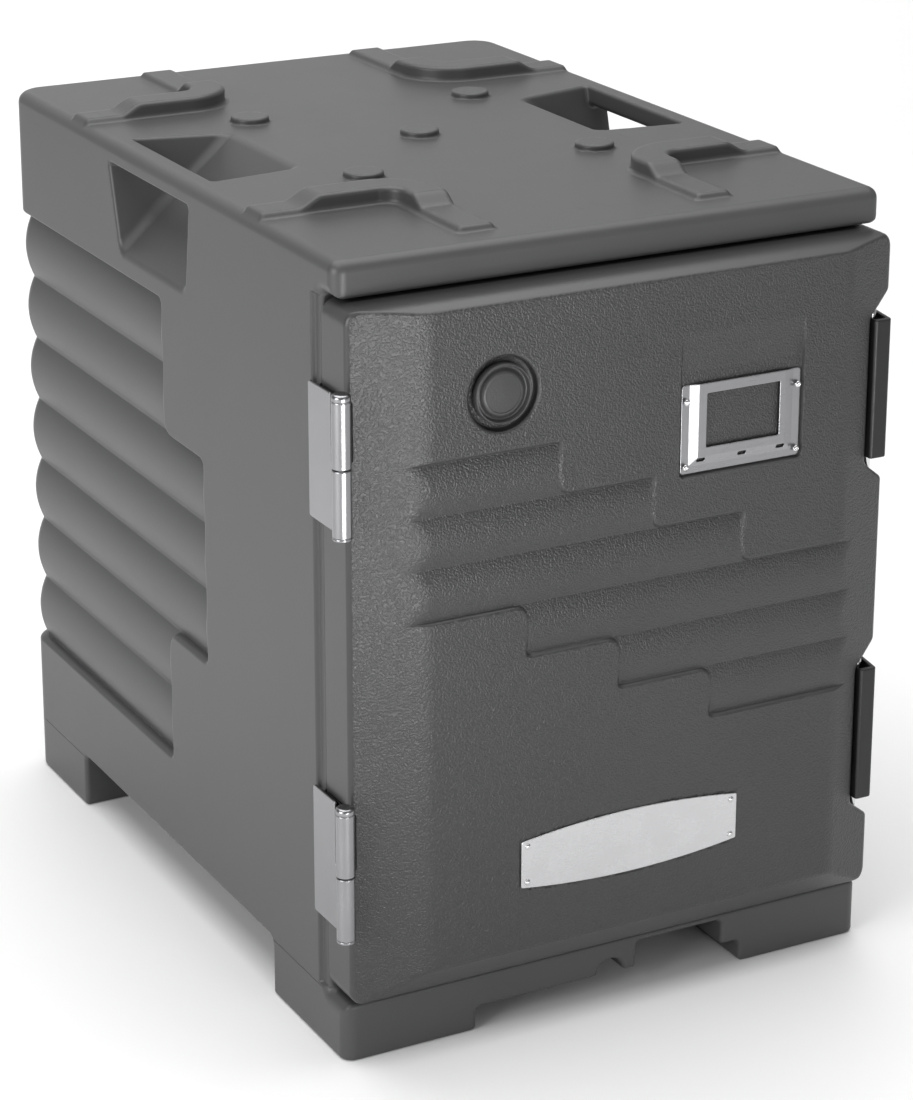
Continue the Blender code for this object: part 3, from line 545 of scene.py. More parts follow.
def make_parting():
    """The fine seam that the mould leaves round the sides just above the feet: 1 on it, 0 away from it."""
    inputs = [("Height of line", Z_BASE), ("Half width", 0.0009)]
    group, given, out = new_group("parting_line", inputs, ["Line"])
    coord = put(group, "ShaderNodeTexCoord")
    place = put(group, "ShaderNodeSeparateXYZ", Vector=coord.outputs["Object"]).outputs
    facing = put(group, "ShaderNodeSeparateXYZ", Vector=coord.outputs["Normal"]).outputs
    away = maths(group, "ABSOLUTE", maths(group, "SUBTRACT", place["Z"], given["Height of line"]))
    line = maths(group, "SUBTRACT", 1.0, maths(group, "DIVIDE", away, given["Half width"]), clamp=True)
    upright = ramp(group, maths(group, "ABSOLUTE", facing["Z"]), 0.3, 0.6, 1.0, 0.0)
    behind = ramp(group, place["Y"], Y_JAMB, Y_SIDE)
    group.links.new(maths(group, "MULTIPLY", maths(group, "MULTIPLY", line, upright), behind), out["Line"])
    return group


LEATHER_GRAIN = make_leather_grain()
HANDLING = make_handling()
BRUSHING = make_brushing()
PARTING = make_parting()


# ---- materials ----
def new_material(name, **sockets):
    mat = bpy.data.materials.new(name)
    mat.use_nodes = True
    shader = mat.node_tree.nodes["Principled BSDF"]
    for label, value in sockets.items():
        shader.inputs[label.replace("_", " ")].default_value = value
    return mat, mat.node_tree, shader.inputs


def place_group(tree, group, **sockets):
    return put(tree, "ShaderNodeGroup", [("node_tree", group)], **sockets).outputs


def tinted(tree, factor, dark, light):
    mix = put(tree, "ShaderNodeMix", [("data_type", "RGBA")], _0=factor, _6=(*dark, 1.0), _7=(*light, 1.0))
    return mix.outputs["Result"]


def wired(mat, tree, shader, colour, rough, height, distance):
    """Leads colour, roughness and a bump of some height into the shader."""
    tree.links.new(colour, shader["Base Color"])
    tree.links.new(rough, shader["Roughness"])
    bump = put(tree, "ShaderNodeBump", Height=height, Distance=distance, Strength=1.0).outputs[0]
    tree.links.new(bump, shader["Normal"])
    return mat


def moulded_plastic(name, dark, light, rough, front_grain, body_grain, seam):
    """Rotomoulded polyethylene: satin skin, with a strong pebble grain on the front of the door only."""
    mat, tree, shader = new_material(name, Specular_IOR_Level=0.42)
    wear = place_group(tree, HANDLING, Cloud_scale=7.0, Scuffs=0.35)
    grain = place_group(tree, LEATHER_GRAIN, Bumps_per_metre=640.0)
    normal = put(tree, "ShaderNodeTexCoord").outputs["Normal"]
    facing = put(tree, "ShaderNodeSeparateXYZ", Vector=normal).outputs["Y"]
    front = ramp(tree, facing, -0.93, -0.80, front_grain, body_grain)
    tint = maths(tree, "MULTIPLY_ADD", wear["Scuff"], 0.35, maths(tree, "MULTIPLY", wear["Cloud"], 0.9))
    # painted shade: the colour is darkened in the valleys of the pebble grain, most strongly on the door's
    # front where the grain is full
    valley_shade = maths(tree, "MULTIPLY", grain["Valley"], maths(tree, "MULTIPLY", front, 0.35))
    colour = tinted(tree, maths(tree, "SUBTRACT", tint, valley_shade, clamp=True), dark, light)
    gloss = maths(tree, "MULTIPLY_ADD", wear["Cloud"], 0.10, rough - 0.05)
    gloss = maths(tree, "MULTIPLY_ADD", wear["Scuff"], 0.12, gloss)
    height = maths(tree, "MULTIPLY", grain["Height"], front)
    height = maths(tree, "MULTIPLY_ADD", wear["Speck"], 0.10, height)
    if seam:
        line = place_group(tree, PARTING)["Line"]
        height = maths(tree, "MULTIPLY_ADD", line, -3.0, height)
    return wired(mat, tree, shader, colour, gloss, height, 0.00022)


def polished_steel(name, colour, rough, strength, lengthwise, smear, painted_slot_shade=False):
    """Steel with drawn lines; with painted_slot_shade set, what lies between the two plates of a hinge is
    painted near black: painted shade for the dark slot between the plates.
    """
    mat, tree, shader = new_material(name, Metallic=1.0)
    lines = place_group(tree, BRUSHING, Lengthwise=lengthwise, Strength=strength)
    dull = tuple(c * 0.86 for c in colour)
    tint = tinted(tree, lines["Smear"], dull, colour)
    if painted_slot_shade:
        # painted shade: everything beyond x = -0.229 (the door leaf's plate, which sits in the hinge slot) is
        # coloured near black in place of the slot's shadow
        x = put(tree, "ShaderNodeSeparateXYZ", Vector=spot(tree)).outputs["X"]
        inner = ramp(tree, x, -0.2292, -0.2288)
        shade = (0.02, 0.02, 0.02, 1.0)
        mix = put(tree, "ShaderNodeMix", [("data_type", "RGBA")], _0=inner, _6=tint, _7=shade)
        tint = mix.outputs["Result"]
    gloss = maths(tree, "MULTIPLY_ADD", lines["Smear"], smear, rough)
    gloss = maths(tree, "MULTIPLY_ADD", lines["Line"], 0.10, gloss)
    return wired(mat, tree, shader, tint, gloss, lines["Line"], 0.00002)


def tough_nylon(name, dark, light):
    mat, tree, shader = new_material(name, Specular_IOR_Level=0.45)
    wear = place_group(tree, HANDLING, Cloud_scale=40.0, Scuffs=0.6)
    gloss = maths(tree, "MULTIPLY_ADD", wear["Scuff"], 0.2, 0.40)
    return wired(mat, tree, shader, tinted(tree, wear["Cloud"], dark, light), gloss, wear["Speck"], 0.00006)


def soft_stuff(name, dark, light, rough, pores):
    """Rubber seals and cut foam: dull, with open pores where pores is high."""
    mat, tree, shader = new_material(name)
    wear = place_group(tree, HANDLING, Cloud_scale=60.0, Scuffs=0.2)
    cells = place_group(tree, LEATHER_GRAIN, Bumps_per_metre=900.0, Amount=pores)
    gloss = maths(tree, "MULTIPLY_ADD", wear["Speck"], 0.08, rough)
    return wired(mat, tree, shader, tinted(tree, wear["Cloud"], dark, light), gloss, cells["Height"], 0.0002)


def grey(level):
    return (level, level, level + 0.001)


SHELL = moulded_plastic("body_polyethylene", grey(0.047), grey(0.062), 0.40, 0.08, 0.08, True)
DOOR = moulded_plastic("door_polyethylene", grey(0.032), grey(0.044), 0.31, 1.0, 0.08, False)
CAP = moulded_plastic("cap_polyethylene", grey(0.035), grey(0.047), 0.36, 0.15, 0.08, False)
HINGE_STEEL = polished_steel("hinge_steel", (0.31, 0.31, 0.32), 0.20, 1.0, 0.0, 0.10)
# the door leaf's steel carries painted shade on its plate, standing in for the shadow in the hinge slot
LEAF_STEEL_PAINTED_SHADE = polished_steel("door_leaf_steel", (0.31, 0.31, 0.32), 0.20, 1.0, 0.0, 0.10, painted_slot_shade=True)
PLATE_STEEL = polished_steel("plate_steel", (0.62, 0.62, 0.63), 0.22, 0.8, 1.0, 0.10)
FRAME_STEEL = polished_steel("frame_steel", (0.34, 0.34, 0.35), 0.24, 1.0, 1.0, 0.10)
SCREW_STEEL = polished_steel("screw_steel", (0.72, 0.72, 0.73), 0.12, 0.4, 0.0, 0.08)
NYLON = tough_nylon("latch_nylon", (0.006, 0.006, 0.006), (0.012, 0.012, 0.013))
RUBBER = soft_stuff("seal_rubber", (0.012, 0.012, 0.012), (0.024, 0.024, 0.024), 0.62, 0.25)
FOAM = soft_stuff("cut_foam", (0.62, 0.52, 0.30), (0.80, 0.72, 0.48), 0.86, 1.0)
PLUG = tough_nylon("plug_plastic", (0.030, 0.030, 0.031), (0.052, 0.052, 0.054))


# ---- body ----
def roll_outline():
    """Edge of the rolled field on the sides, as y, z: the middle rows reach further forward."""
    low = ROLL_BOTTOM - ROLL_EDGE
    high = ROLL_TOP + ROLL_EDGE
    step_low = ROLL_BOTTOM + ROLL_PITCH * LONG_FIRST - ROLL_EDGE
    step_high = ROLL_BOTTOM + ROLL_PITCH * LONG_LAST + ROLL_EDGE
    short, long = SHORT_Y - ROLL_EDGE, LONG_Y - ROLL_EDGE
    corners = [(1.0, low), (short, low), (short, step_low), (long, step_low)]
    corners += [(long, step_high), (short, step_high), (short, high), (1.0, high)]
    return softened(corners, 0.010)


ROLL_OUTLINE = roll_outline()


def sunk(inside, edge):
    """Share of the full depth at a distance inside an outline: a rounded shoulder that ends in a crease."""
    t = np.clip(inside / edge, 0, 1)
    return (1 - np.sqrt(1 - 0.9 * t * t)) / (1 - math.sqrt(0.1))


def roll_inset(y, z):
    row = (z - ROLL_BOTTOM) / ROLL_PITCH
    across = 2 * (row - np.floor(row)) - 1
    across = np.where((row < 0) | (row > ROLLS), 1.0, across)
    depth = ROLL_CREST + (ROLL_DEPTH - ROLL_CREST) * across * across
    return depth * sunk(-outline_field(ROLL_OUTLINE, y, z), ROLL_EDGE)


def block_field(x, y, z):
    """The outer block: throat between the two lips, narrower jamb, rolled sides, rounded back."""
    throat = ease((z - Z_BASE) / 0.003) * ease((Z_LIP - z) / 0.003)
    lip = both(Y_LIP - y, Z_LIP - z, EDGE_R)
    base = both(Y_BASE - y, z - Z_BASE, 0.0035)
    front = either(either(Y_JAMB - y, lip, THROAT_R), base, THROAT_R)
    strip = JAMB_IN * throat * ease((Y_SIDE - y) / 0.0035)
    plan = both(np.abs(x) - HALF_W, y - Y_BACK, BACK_R) + strip + roll_inset(y, z)
    shape = both(front, plan, FRONT_R + (JAMB_R - FRONT_R) * throat)
    return both(both(shape, z - Z_ROOF, ROOF_R), -z, EDGE_R)


def cavity_field(x, y, z):
    """The pan space with its runners."""
    room = soft_box(x, z, -CAVITY_HALF, CAVITY_HALF, CAVITY_Z[0], CAVITY_Z[1], 0.014)
    room = both(room, y - CAVITY_BACK, 0.012)
    level = np.clip(np.round((z - RUNNER_FIRST + RUNNER_ROOT / 2) / RUNNER_PITCH), 0, RUNNERS - 1)
    height = z - RUNNER_FIRST - RUNNER_PITCH * level
    fall = RUNNER_ROOT - RUNNER_TIP
    length = math.hypot(fall, RUNNER_OUT)
    under = ((CAVITY_HALF - np.abs(x)) * fall - (height + RUNNER_ROOT) * RUNNER_OUT) / length
    tip = CAVITY_HALF - RUNNER_OUT - np.abs(x)
    runner = both(both(both(height, tip, 0.0015), under, 0.0012), RUNNER_FRONT - y, 0.003)
    return less(room, runner, 0.003)


def pocket_field(x, y, z):
    """A hand pocket: a sloping floor from the side up to the roof, with the carrying bar left standing."""
    out = np.abs(x)
    over = ((z - Z_ROOF) + POCKET_SLOPE * (out - POCKET_TOP_X)) / math.hypot(1, POCKET_SLOPE)
    share = over / POCKET_RISE
    front = POCKET_FLOOR_Y[0] + (POCKET_Y[0] - POCKET_FLOOR_Y[0]) * share
    back = POCKET_FLOOR_Y[1] + (POCKET_Y[1] - POCKET_FLOOR_Y[1]) * share
    room = both(both(-over, front - y, 0.007), y - back, 0.007)
    bar = both(BAR_IN - out, BAR_BOTTOM - z, 0.005)
    return less(room, bar, 0.004)


def under_field(x, y, z):
    """Everything that is open between the four feet and under the front skirt."""
    out = np.abs(x)
    side_way = both(between(y, *FOOT_Y), z - Z_UNDER, 0.007)
    long_way = both(both(out - FOOT_X, SKIRT_BACK - y, 0.005), z - Z_UNDER, 0.007)
    skirt = both(out - FOOT_X, z - SKIRT_Z, 0.005)
    ahead = y - SKIRT_BACK
    cutaway = np.maximum(both(between(x, *CUTAWAY_X), z - CUTAWAY_Z, 0.005), ahead)
    notch = np.maximum(np.hypot(x, z - SKIRT_Z) - NOTCH_R, ahead)
    return np.minimum(np.minimum(np.minimum(side_way, long_way), np.minimum(skirt, cutaway)), notch)


def lug_field(x, y, z):
    """Stacking lugs: a low leg in from each side edge, a high corner and a low tail to the front or back."""
    out = np.abs(x)
    end = np.where(y < ROOF_MID_Y, -1.0, 1.0)
    along = end * (y - ROOF_MID_Y) - LUG_Y
    reach = np.where(y < ROOF_MID_Y, ROOF_MID_Y - LUG_ENDS[0], LUG_ENDS[1] - ROOF_MID_Y) - LUG_Y
    turn = LUG_X + LUG_R
    leg = np.hypot(out - np.clip(out, turn, 1.0), along)
    tail = np.hypot(out - LUG_X, along - np.clip(along, LUG_R, 1.0))
    corner = np.abs(np.hypot(out - turn, along - LUG_R) - LUG_R)
    corner = np.where((out < turn) & (along < LUG_R), corner, 1.0)
    wall = np.minimum(np.minimum(leg, tail), corner) - LUG_HALF
    wall = both(both(wall, out - LUG_OUT, 0.003), along - reach, 0.003)
    high = np.minimum(ease((0.192 - out) / 0.020), ease((0.056 - along) / 0.017))
    lug = both(wall, z - Z_ROOF - LUG_LOW - (LUG_HIGH - LUG_LOW) * high, 0.0035)
    return np.maximum(lug, Z_ROOF - LUG_ROOT - z)


def pads_field(x, y, z):
    out = np.abs(x)
    off = np.abs(y - ROOF_MID_Y)
    nearest = np.minimum(np.hypot(out - PAD_X, off - PAD_Y), np.hypot(out, off))
    return both(nearest - PAD_R, z - Z_ROOF - PAD_H, 0.0018)


def body_field(x, y, z):
    shape = either(block_field(x, y, z), lug_field(x, y, z), 0.0035)
    shape = either(shape, pads_field(x, y, z), 0.0015)
    shape = less(shape, cavity_field(x, y, z), 0.003)
    shape = less(shape, pocket_field(x, y, z), 0.0025)
    shape = less(shape, under_field(x, y, z), 0.0035)
    port_x, port_y, port_r, port_top = BODY_PORT
    port = np.maximum(np.hypot(x - port_x, y - port_y) - port_r, z - port_top)
    return less(shape, port, 0.0005)


def poured_foam_field(x, y, z):
    """The foam fills the walls up to the skin, and stops above the feet and below the lugs."""
    shape = body_field(x, y, z) + SKIN
    for i, place in ((2, z), (1, y), (0, x)):
        shape = both(shape, between(place, FOAM_LOW[i], FOAM_HIGH[i]), 0.002)
    return shape


def make_body():
    coarse = 0.0028
    creases = [ROLL_BOTTOM + ROLL_PITCH * i for i in range(ROLLS + 1)]
    edges = [0.0, Z_BASE, Z_LIP, Z_ROOF - ROOF_R / 2, Z_ROOF, Z_ROOF + PAD_H, BODY_HIGH.z]
    sides = [-HALF_W, HALF_W, -BAR_IN, BAR_IN]
    fronts = [Y_BASE, Y_LIP, Y_JAMB, Y_SIDE, LONG_Y, SHORT_Y]
    close = coarse * 0.55
    grid = (
        stations(BODY_LOW.x, BODY_HIGH.x, coarse, sides, close, 0.006),
        stations(BODY_LOW.y, BODY_HIGH.y, coarse, fronts, close, 0.006),
        stations(BODY_LOW.z, BODY_HIGH.z, coarse, creases + edges, close * 0.8, 0.005),
    )
    moulded("carrier_body", body_field, grid, 190000, SHELL, "body", "shell_plastic", "body_shell")
    grid = box_grid(FOAM_LOW, FOAM_HIGH, 0.0055, 0.0055, 0.0055)
    moulded("body_foam_poured", poured_foam_field, grid, 40000, FOAM, "body", "insulation_foam", "body_foam")


# ---- door ----
def wave_outline():
    """Edge of the wave rows on the door, as x, z: a flight of steps down to the right on both sides."""
    left, right = -1.0, 1.0
    top = WAVE_TOP + WAVE_EDGE
    corners = [(left, top)]
    for row, end in enumerate(WAVES_LEFT):
        floor = WAVE_TOP - WAVE_PITCH * (row + 1) + WAVE_EDGE
        corners += [(end, top), (end, floor)]
        top = floor
    corners.append((right, top))
    bottom = WAVE_TOP - WAVE_PITCH * WAVE_ROWS - WAVE_EDGE
    corners.append((right, bottom))
    for row in (2, 1, 0):
        ceiling = WAVE_TOP - WAVE_PITCH * (row + 3) - WAVE_EDGE
        corners += [(WAVES_RIGHT[row], bottom), (WAVES_RIGHT[row], ceiling)]
        bottom = ceiling
    corners.append((left, bottom))
    return softened(corners, 0.007)


def plate_outline(grow=0.0):
    """Nameplate: straight ends, top and bottom edges bowed outwards."""
    half = PLATE_HIGH.x + grow
    middle = (PLATE_LOW.z + PLATE_HIGH.z) / 2
    end = PLATE_END_HALF + grow
    bow = (PLATE_HIGH.z - PLATE_LOW.z) / 2 - PLATE_END_HALF
    steps = 16
    top = [
        (half * (1 - 2 * i / steps), middle + end + bow * (1 - (1 - 2 * i / steps) ** 2))
        for i in range(steps + 1)
    ]
    return top + [(-x, 2 * middle - z) for x, z in top]


def latch_notch(middle):
    """Notch for a latch in the right edge of the door, as x, z, open well past the edge."""
    corners = [
        (NOTCH_FLOOR_X, middle - 0.058),
        (NOTCH_FLOOR_X + 0.0055, middle - 0.063),
        (NOTCH_OPEN_X, middle - 0.100),
        (NOTCH_OPEN_X, middle + 0.107),
        (NOTCH_FLOOR_X + 0.0075, middle + 0.062),
        (NOTCH_FLOOR_X, middle + 0.056),
    ]
    return softened(corners, 0.006)


WAVE_OUTLINE = wave_outline()
PLATE_RECESS = plate_outline(0.0018)
NOTCHES = [latch_notch(middle) for middle in LATCH_MIDDLES.values()]


def face_relief(x, z):
    """How far the door's front lies behind its main face."""
    row = (WAVE_TOP - z) / WAVE_PITCH
    across = 2 * (row - np.floor(row)) - 1
    across = np.where((row < 0) | (row > WAVE_ROWS), 1.0, across)
    depth = WAVE_CREST + (WAVE_DEPTH - WAVE_CREST) * across * across
    waves = depth * sunk(-outline_field(WAVE_OUTLINE, x, z), WAVE_EDGE)
    fade = np.clip((LABEL_RAMP_TOP - z) / (LABEL_RAMP_TOP - LABEL_SIDE_Z), 0, 1)
    recess = soft_box(x, z, FRAME_LOW.x - 0.002, FRAME_HIGH.x + 0.0025, FRAME_LOW.z - 0.002, 0.60, 0.004)
    label = LABEL_DEPTH * fade * ease(-recess / 0.0015)
    plate = PLATE_DEPTH * ease(-outline_field(PLATE_RECESS, x, z) / 0.0012)
    return np.maximum(np.maximum(waves, label), plate)


def sloped(out, edge, face, y):
    """Sloping border of the door, out towards one side: from the edge's front to the main face."""
    run = edge - face
    drop = Y_DOOR_EDGE - Y_FACE
    return ((out - edge) * drop + (Y_DOOR_EDGE - y) * run) / math.hypot(run, drop)


def door_field(x, y, z):
    front = Y_FACE + face_relief(x, z) - y
    borders = (
        (-x, DOOR_HALF, -FACE_X[0]),
        (x, DOOR_HALF, FACE_X[1]),
        (z, DOOR_HIGH.z, FACE_Z[1]),
        (-z, -DOOR_LOW.z, -FACE_Z[0]),
    )
    for out, edge, face in borders:
        front = both(front, sloped(out, edge, face, y), 0.0015)
    rim = soft_box(x, z, -DOOR_HALF, DOOR_HALF, DOOR_LOW.z, DOOR_HIGH.z, 0.012)
    shape = both(both(front, rim, 0.0035), y - Y_DOOR_BACK, 0.0015)
    panel = soft_box(x, z, -PANEL_HALF, PANEL_HALF, *PANEL_Z, 0.016)
    panel = np.maximum(both(panel, y - Y_PANEL, 0.005), PANEL_ROOT - y)
    shape = either(shape, panel, 0.004)
    ring = soft_box(x, z, -GROOVE_X[1], GROOVE_X[1], *GROOVE_Z[1], 0.010)
    inner = soft_box(x, z, -GROOVE_X[0], GROOVE_X[0], *GROOVE_Z[0], 0.003)
    groove = np.maximum(np.maximum(ring, -inner), GROOVE_Y - y)
    shape = less(shape, groove, 0.0006)
    from_vent = np.hypot(x - VENT_X, z - VENT_Z)
    shape = less(shape, both(from_vent - DISH_R, y - VENT_FLOOR, 0.003), 0.0022)
    shape = less(shape, from_vent - VENT_BORE, 0.0004)
    for notch in NOTCHES:
        shape = less(shape, outline_field(notch, x, z), 0.0020)
    port_x, port_z, port_r = DOOR_PORT
    port = np.maximum(np.hypot(x - port_x, z - port_z) - port_r, DOOR_PORT_END - y)
    return less(shape, port, 0.0005)


def make_door():
    coarse = 0.0018
    creases = [WAVE_TOP - WAVE_PITCH * i for i in range(WAVE_ROWS + 1)]
    borders = [DOOR_LOW.z, DOOR_HIGH.z, FRAME_LOW.z - 0.002]
    ends = list(WAVES_LEFT + WAVES_RIGHT) + [DOOR_LOW.x, DOOR_HIGH.x, FACE_X[0], FRAME_HIGH.x + 0.002]
    close = coarse * 0.5
    grid = (
        stations(DOOR_LOW.x, DOOR_HIGH.x, coarse, ends, close, 0.004),
        stations(DOOR_LOW.y, DOOR_HIGH.y, coarse * 0.7),
        stations(DOOR_LOW.z, DOOR_HIGH.z, coarse, creases + borders, close, 0.004),
    )
    moulded("carrier_door", door_field, grid, 170000, DOOR, "door", "shell_plastic", "door_shell")


def seal_field(x, y, z):
    """Door seal: a round bulb on a narrow foot, as one closed ring."""
    low, high = SEAL_LOW, SEAL_HIGH
    ring = soft_box(x, z, low.x, high.x, low.z, high.z, 0.010)
    half = (GROOVE_X[1] - GROOVE_X[0]) / 2
    centre = np.abs(ring + half)
    foot = both(centre - half, between(y, low.y, low.y + 0.0030), 0.0006)
    bulb = np.hypot(centre, y - (high.y - SEAL_BULB_R)) - SEAL_BULB_R
    lip = both(centre - 0.0012, between(y, low.y, high.y - 0.002), 0.0004)
    return either(either(foot, lip, 0.001), bulb, 0.0006)


def make_seal():
    step = 0.0012
    grid = box_grid(SEAL_LOW, SEAL_HIGH, step, step * 0.6, step)
    moulded("door_seal", seal_field, grid, 40000, RUBBER, "door", "seal_rubber", "door_gasket")


# ---- vent cap, label frame, nameplate ----
def make_vent():
    """Round vent cap: a thin rim, a deep groove inside it and a flat button with a soft shoulder."""
    low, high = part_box("vent_cap")
    rim_y = low.y
    rim_r = (high.x - low.x) / 2
    stem_r = VENT_BORE - 0.0005
    under = VENT_FLOOR - 0.0018
    outline = [
        (rim_y + 0.0010, 0.0),
        (rim_y + 0.0010, 0.0140),
        (rim_y + 0.0016, 0.0160),
        (rim_y + 0.0038, 0.0180),
        (rim_y + 0.0042, 0.0191),
        (rim_y + 0.0038, 0.0202),
        (rim_y + 0.0004, 0.0208),
        (rim_y + 0.0000, 0.0214),
        (rim_y + 0.0004, 0.0221),
        (rim_y + 0.0016, rim_r),
        (under, rim_r),
        (under, stem_r),
        (high.y - 0.001, stem_r),
        (high.y, stem_r - 0.001),
    ]
    profile = [outline[0]] + softened(outline[1:-1], 0.0008, 3)[:-1] + [outline[-1]]
    profile[0] = (profile[0][0], 0.0005)
    middle = (VENT_X, VENT_Z)
    turned("vent_cap_turned", "y", middle, profile, CAP, "vent", "shell_plastic", "vent_cap", segments=112)


def label_frame_field(x, y, z):
    """Pressed steel card frame: a flange, a ramp up on three sides and a raised face, open at the top."""
    low, high = FRAME_LOW, FRAME_HIGH
    flange, ramp_run, sheet = 0.0065, 0.0075, 0.0010
    inside = np.minimum(np.minimum(x - low.x, high.x - x), (z - low.z) * 1.15)
    lift = (high.y - low.y - sheet) * np.clip((inside - flange) / ramp_run, 0, 1)
    front = high.y - sheet - lift
    plate = both(soft_box(x, z, low.x, high.x, low.z, high.z, 0.0025), front - y, 0.0004)
    plate = both(plate, y - np.minimum(front + sheet, high.y), 0.0003)
    window = soft_box(x, z, *WINDOW_X, *WINDOW_Z, 0.0012)
    shape = less(plate, window, 0.0004)
    for slot_x in (WINDOW_X[0] - 0.004, sum(WINDOW_X) / 2, WINDOW_X[1] + 0.002):
        slot = soft_box(x, z, slot_x - 0.0036, slot_x + 0.0036, low.z + 0.0084, low.z + 0.0112, 0.0013)
        shape = less(shape, slot, 0.0003)
    return shape


def make_label_frame():
    grid = box_grid(FRAME_LOW, FRAME_HIGH, 0.0005, 0.0003, 0.0005)
    moulded("card_frame", label_frame_field, grid, 40000, FRAME_STEEL, "door", "frame_steel", "label_frame")


PLATE_EDGE = softened(plate_outline(), 0.0012, 2)


def nameplate_field(x, y, z):
    flat = outline_field(PLATE_EDGE, x, z)
    return both(flat, between(y, PLATE_LOW.y, PLATE_HIGH.y), 0.00045)


def make_nameplate():
    grid = box_grid(PLATE_LOW, PLATE_HIGH, 0.0008, 0.0003, 0.0008)
    moulded("steel_nameplate", nameplate_field, grid, 16000, PLATE_STEEL, "door", "plate_steel", "nameplate")


# ---- fasteners ----
def make_fastener(node, body, axis, out, cross):
    """Domed screw or rivet; out is the way its head faces, and cross cuts a driver recess in it."""
    low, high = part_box(node)
    side = "xyz".index(axis)
    others = [i for i in range(3) if i != side]
    centre = [(low[i] + high[i]) / 2 for i in range(3)]
    head_r = (high[others[0]] - low[others[0]]) / 2
    top = high[side] if out > 0 else low[side]
    total = high[side] - low[side]
    head_h = min(head_r * 0.55, total * 0.3)
    shank_r = head_r * 0.48
    bow = (head_r**2 + head_h**2) / (2 * head_h)

    def field(x, y, z):
        place = (x, y, z)
        a = place[others[0]] - centre[others[0]]
        b = place[others[1]] - centre[others[1]]
        along = (place[side] - top) * out + head_h
        radius = np.hypot(a, b)
        dome = np.hypot(radius, along + bow - head_h) - bow
        head = both(both(dome, -along, 0.00015), radius - head_r, 0.0003)
        if cross:
            blade = np.minimum(
                both(np.abs(a) - 0.00045, np.abs(b) - head_r * 0.55, 0.0002),
                both(np.abs(b) - 0.00045, np.abs(a) - head_r * 0.55, 0.0002),
            )
            head = less(head, np.maximum(blade, head_h * 0.35 - along), 0.0001)
        shank = both(radius - shank_r, np.maximum(along - head_h * 0.5, head_h - total - along), 0.0003)
        return np.minimum(head, shank)

    step = head_r / 12
    grid = box_grid(low, high, step, step, step)
    moulded(node + "_turned", field, grid, 2600, SCREW_STEEL, body, "fastener_steel", node)


def make_fasteners():
    levels = ("low", "high")
    for side in ("left", "right"):
        for level in levels:
            make_fastener(f"label_screw_{side}_{level}", "door", "y", -1, True)
            make_fastener(f"nameplate_rivet_{side}_{level}", "door", "y", -1, False)
    for place in ("upper", "lower"):
        for level in levels:
            make_fastener(f"{place}_latch_screw_{level}", "body", "x", 1, True)


# ---- hinges ----
def barrel(tube, z, low, high, top_round, bottom_round, groove):
    """Upright round barrel, tube away from the hinge line, with a fine groove round it at one height."""
    shape = both(both(tube - HINGE_R, z - high, top_round), low - z, bottom_round)
    ring = both(np.abs(z - groove) - 0.0003, HINGE_R - 0.0003 - tube, 0.0001)
    return less(shape, ring, 0.0002)


def countersink(a, b, depth):
    """A screw hole that opens out to the face of its leaf."""
    return np.hypot(a, b) - np.clip(0.0019 + depth * 1.6, 0.0019, 0.0045)


def make_hinge(place, split):
    face_x = (-0.2312, -0.2290)
    back_y, neck_y, web_y = -0.2588, -0.2945, -0.3180
    flange_y = (-0.2712, -0.2698)
    flange_x = -0.1960
    plate_z = (split - 0.0540, split + 0.0470)

    def body_leaf(x, y, z):
        corners = [
            (back_y, plate_z[0]),
            (back_y, plate_z[1]),
            (neck_y, plate_z[1]),
            (neck_y, split - 0.0030),
            (web_y, split - 0.0030),
            (web_y, plate_z[0] + 0.0020),
            (neck_y, plate_z[0]),
        ]
        plate = both(outline_field(softened(corners, 0.0025), y, z), between(x, *face_x), 0.0005)
        flange = soft_box(x, z, face_x[0] + 0.0008, flange_x, plate_z[0], plate_z[1], 0.003)
        flange = both(flange, between(y, *flange_y), 0.0004)
        for row in (split - 0.0300, split + 0.0250):
            flange = np.maximum(flange, -countersink(x - FLANGE_SCREW_X, z - row, -0.2699 - y))
        tube = np.hypot(x - HINGE_X, y - HINGE_Y)
        knuckle = barrel(tube, z, split - 0.0525, split - BARREL_GAP, 0.0007, 0.0012, split - 0.0500)
        shape = either(either(plate, flange, 0.0008), knuckle, 0.0012)
        return less(shape, np.maximum(tube - PIN_BORE_R, split - 0.0500 - z), 0.0003)

    def door_leaf(x, y, z):
        corners = [
            (-0.3215, split + 0.0030),
            (-0.2750, split + 0.0030),
            (-0.2750, split + 0.0470),
            (-0.3215, split + 0.0470),
        ]
        plate = both(outline_field(softened(corners, 0.0025), y, z), between(x, -0.2286, -0.2268), 0.0005)
        for row in (split + 0.0130, split + 0.0350):
            plate = np.maximum(plate, -countersink(y - LEAF_SCREW_Y, z - row, -0.2272 - x))
        tube = np.hypot(x - HINGE_X, y - HINGE_Y)
        knuckle = barrel(tube, z, split + BARREL_GAP, split + 0.0545, 0.0028, 0.0007, split + 0.0492)
        shape = either(plate, knuckle, 0.0012)
        return less(shape, np.maximum(tube - PIN_BORE_R, z - (split + 0.0500)), 0.0003)

    step = 0.0007
    for name, field, node, body, steel in (
        ("body_leaf_pressed", body_leaf, "_hinge_body_leaf", "body", HINGE_STEEL),
        ("door_leaf_pressed", door_leaf, "_hinge_door_leaf", "door", LEAF_STEEL_PAINTED_SHADE),
    ):
        grid = box_grid(*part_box(place + node), step * 0.7, step * 0.7, step)
        moulded(f"{place}_hinge_{name}", field, grid, 36000, steel, body, "hinge_steel", place + node)
    low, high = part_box(place + "_hinge_pin")
    pin = [(low.z, 0.0030), (low.z + 0.0005, 0.0035), (high.z - 0.002, 0.0035), (high.z, 0.0020)]
    node = place + "_hinge_pin"
    turned(node + "_turned", "z", (HINGE_X, HINGE_Y), pin, SCREW_STEEL, "body", "fastener_steel", node)


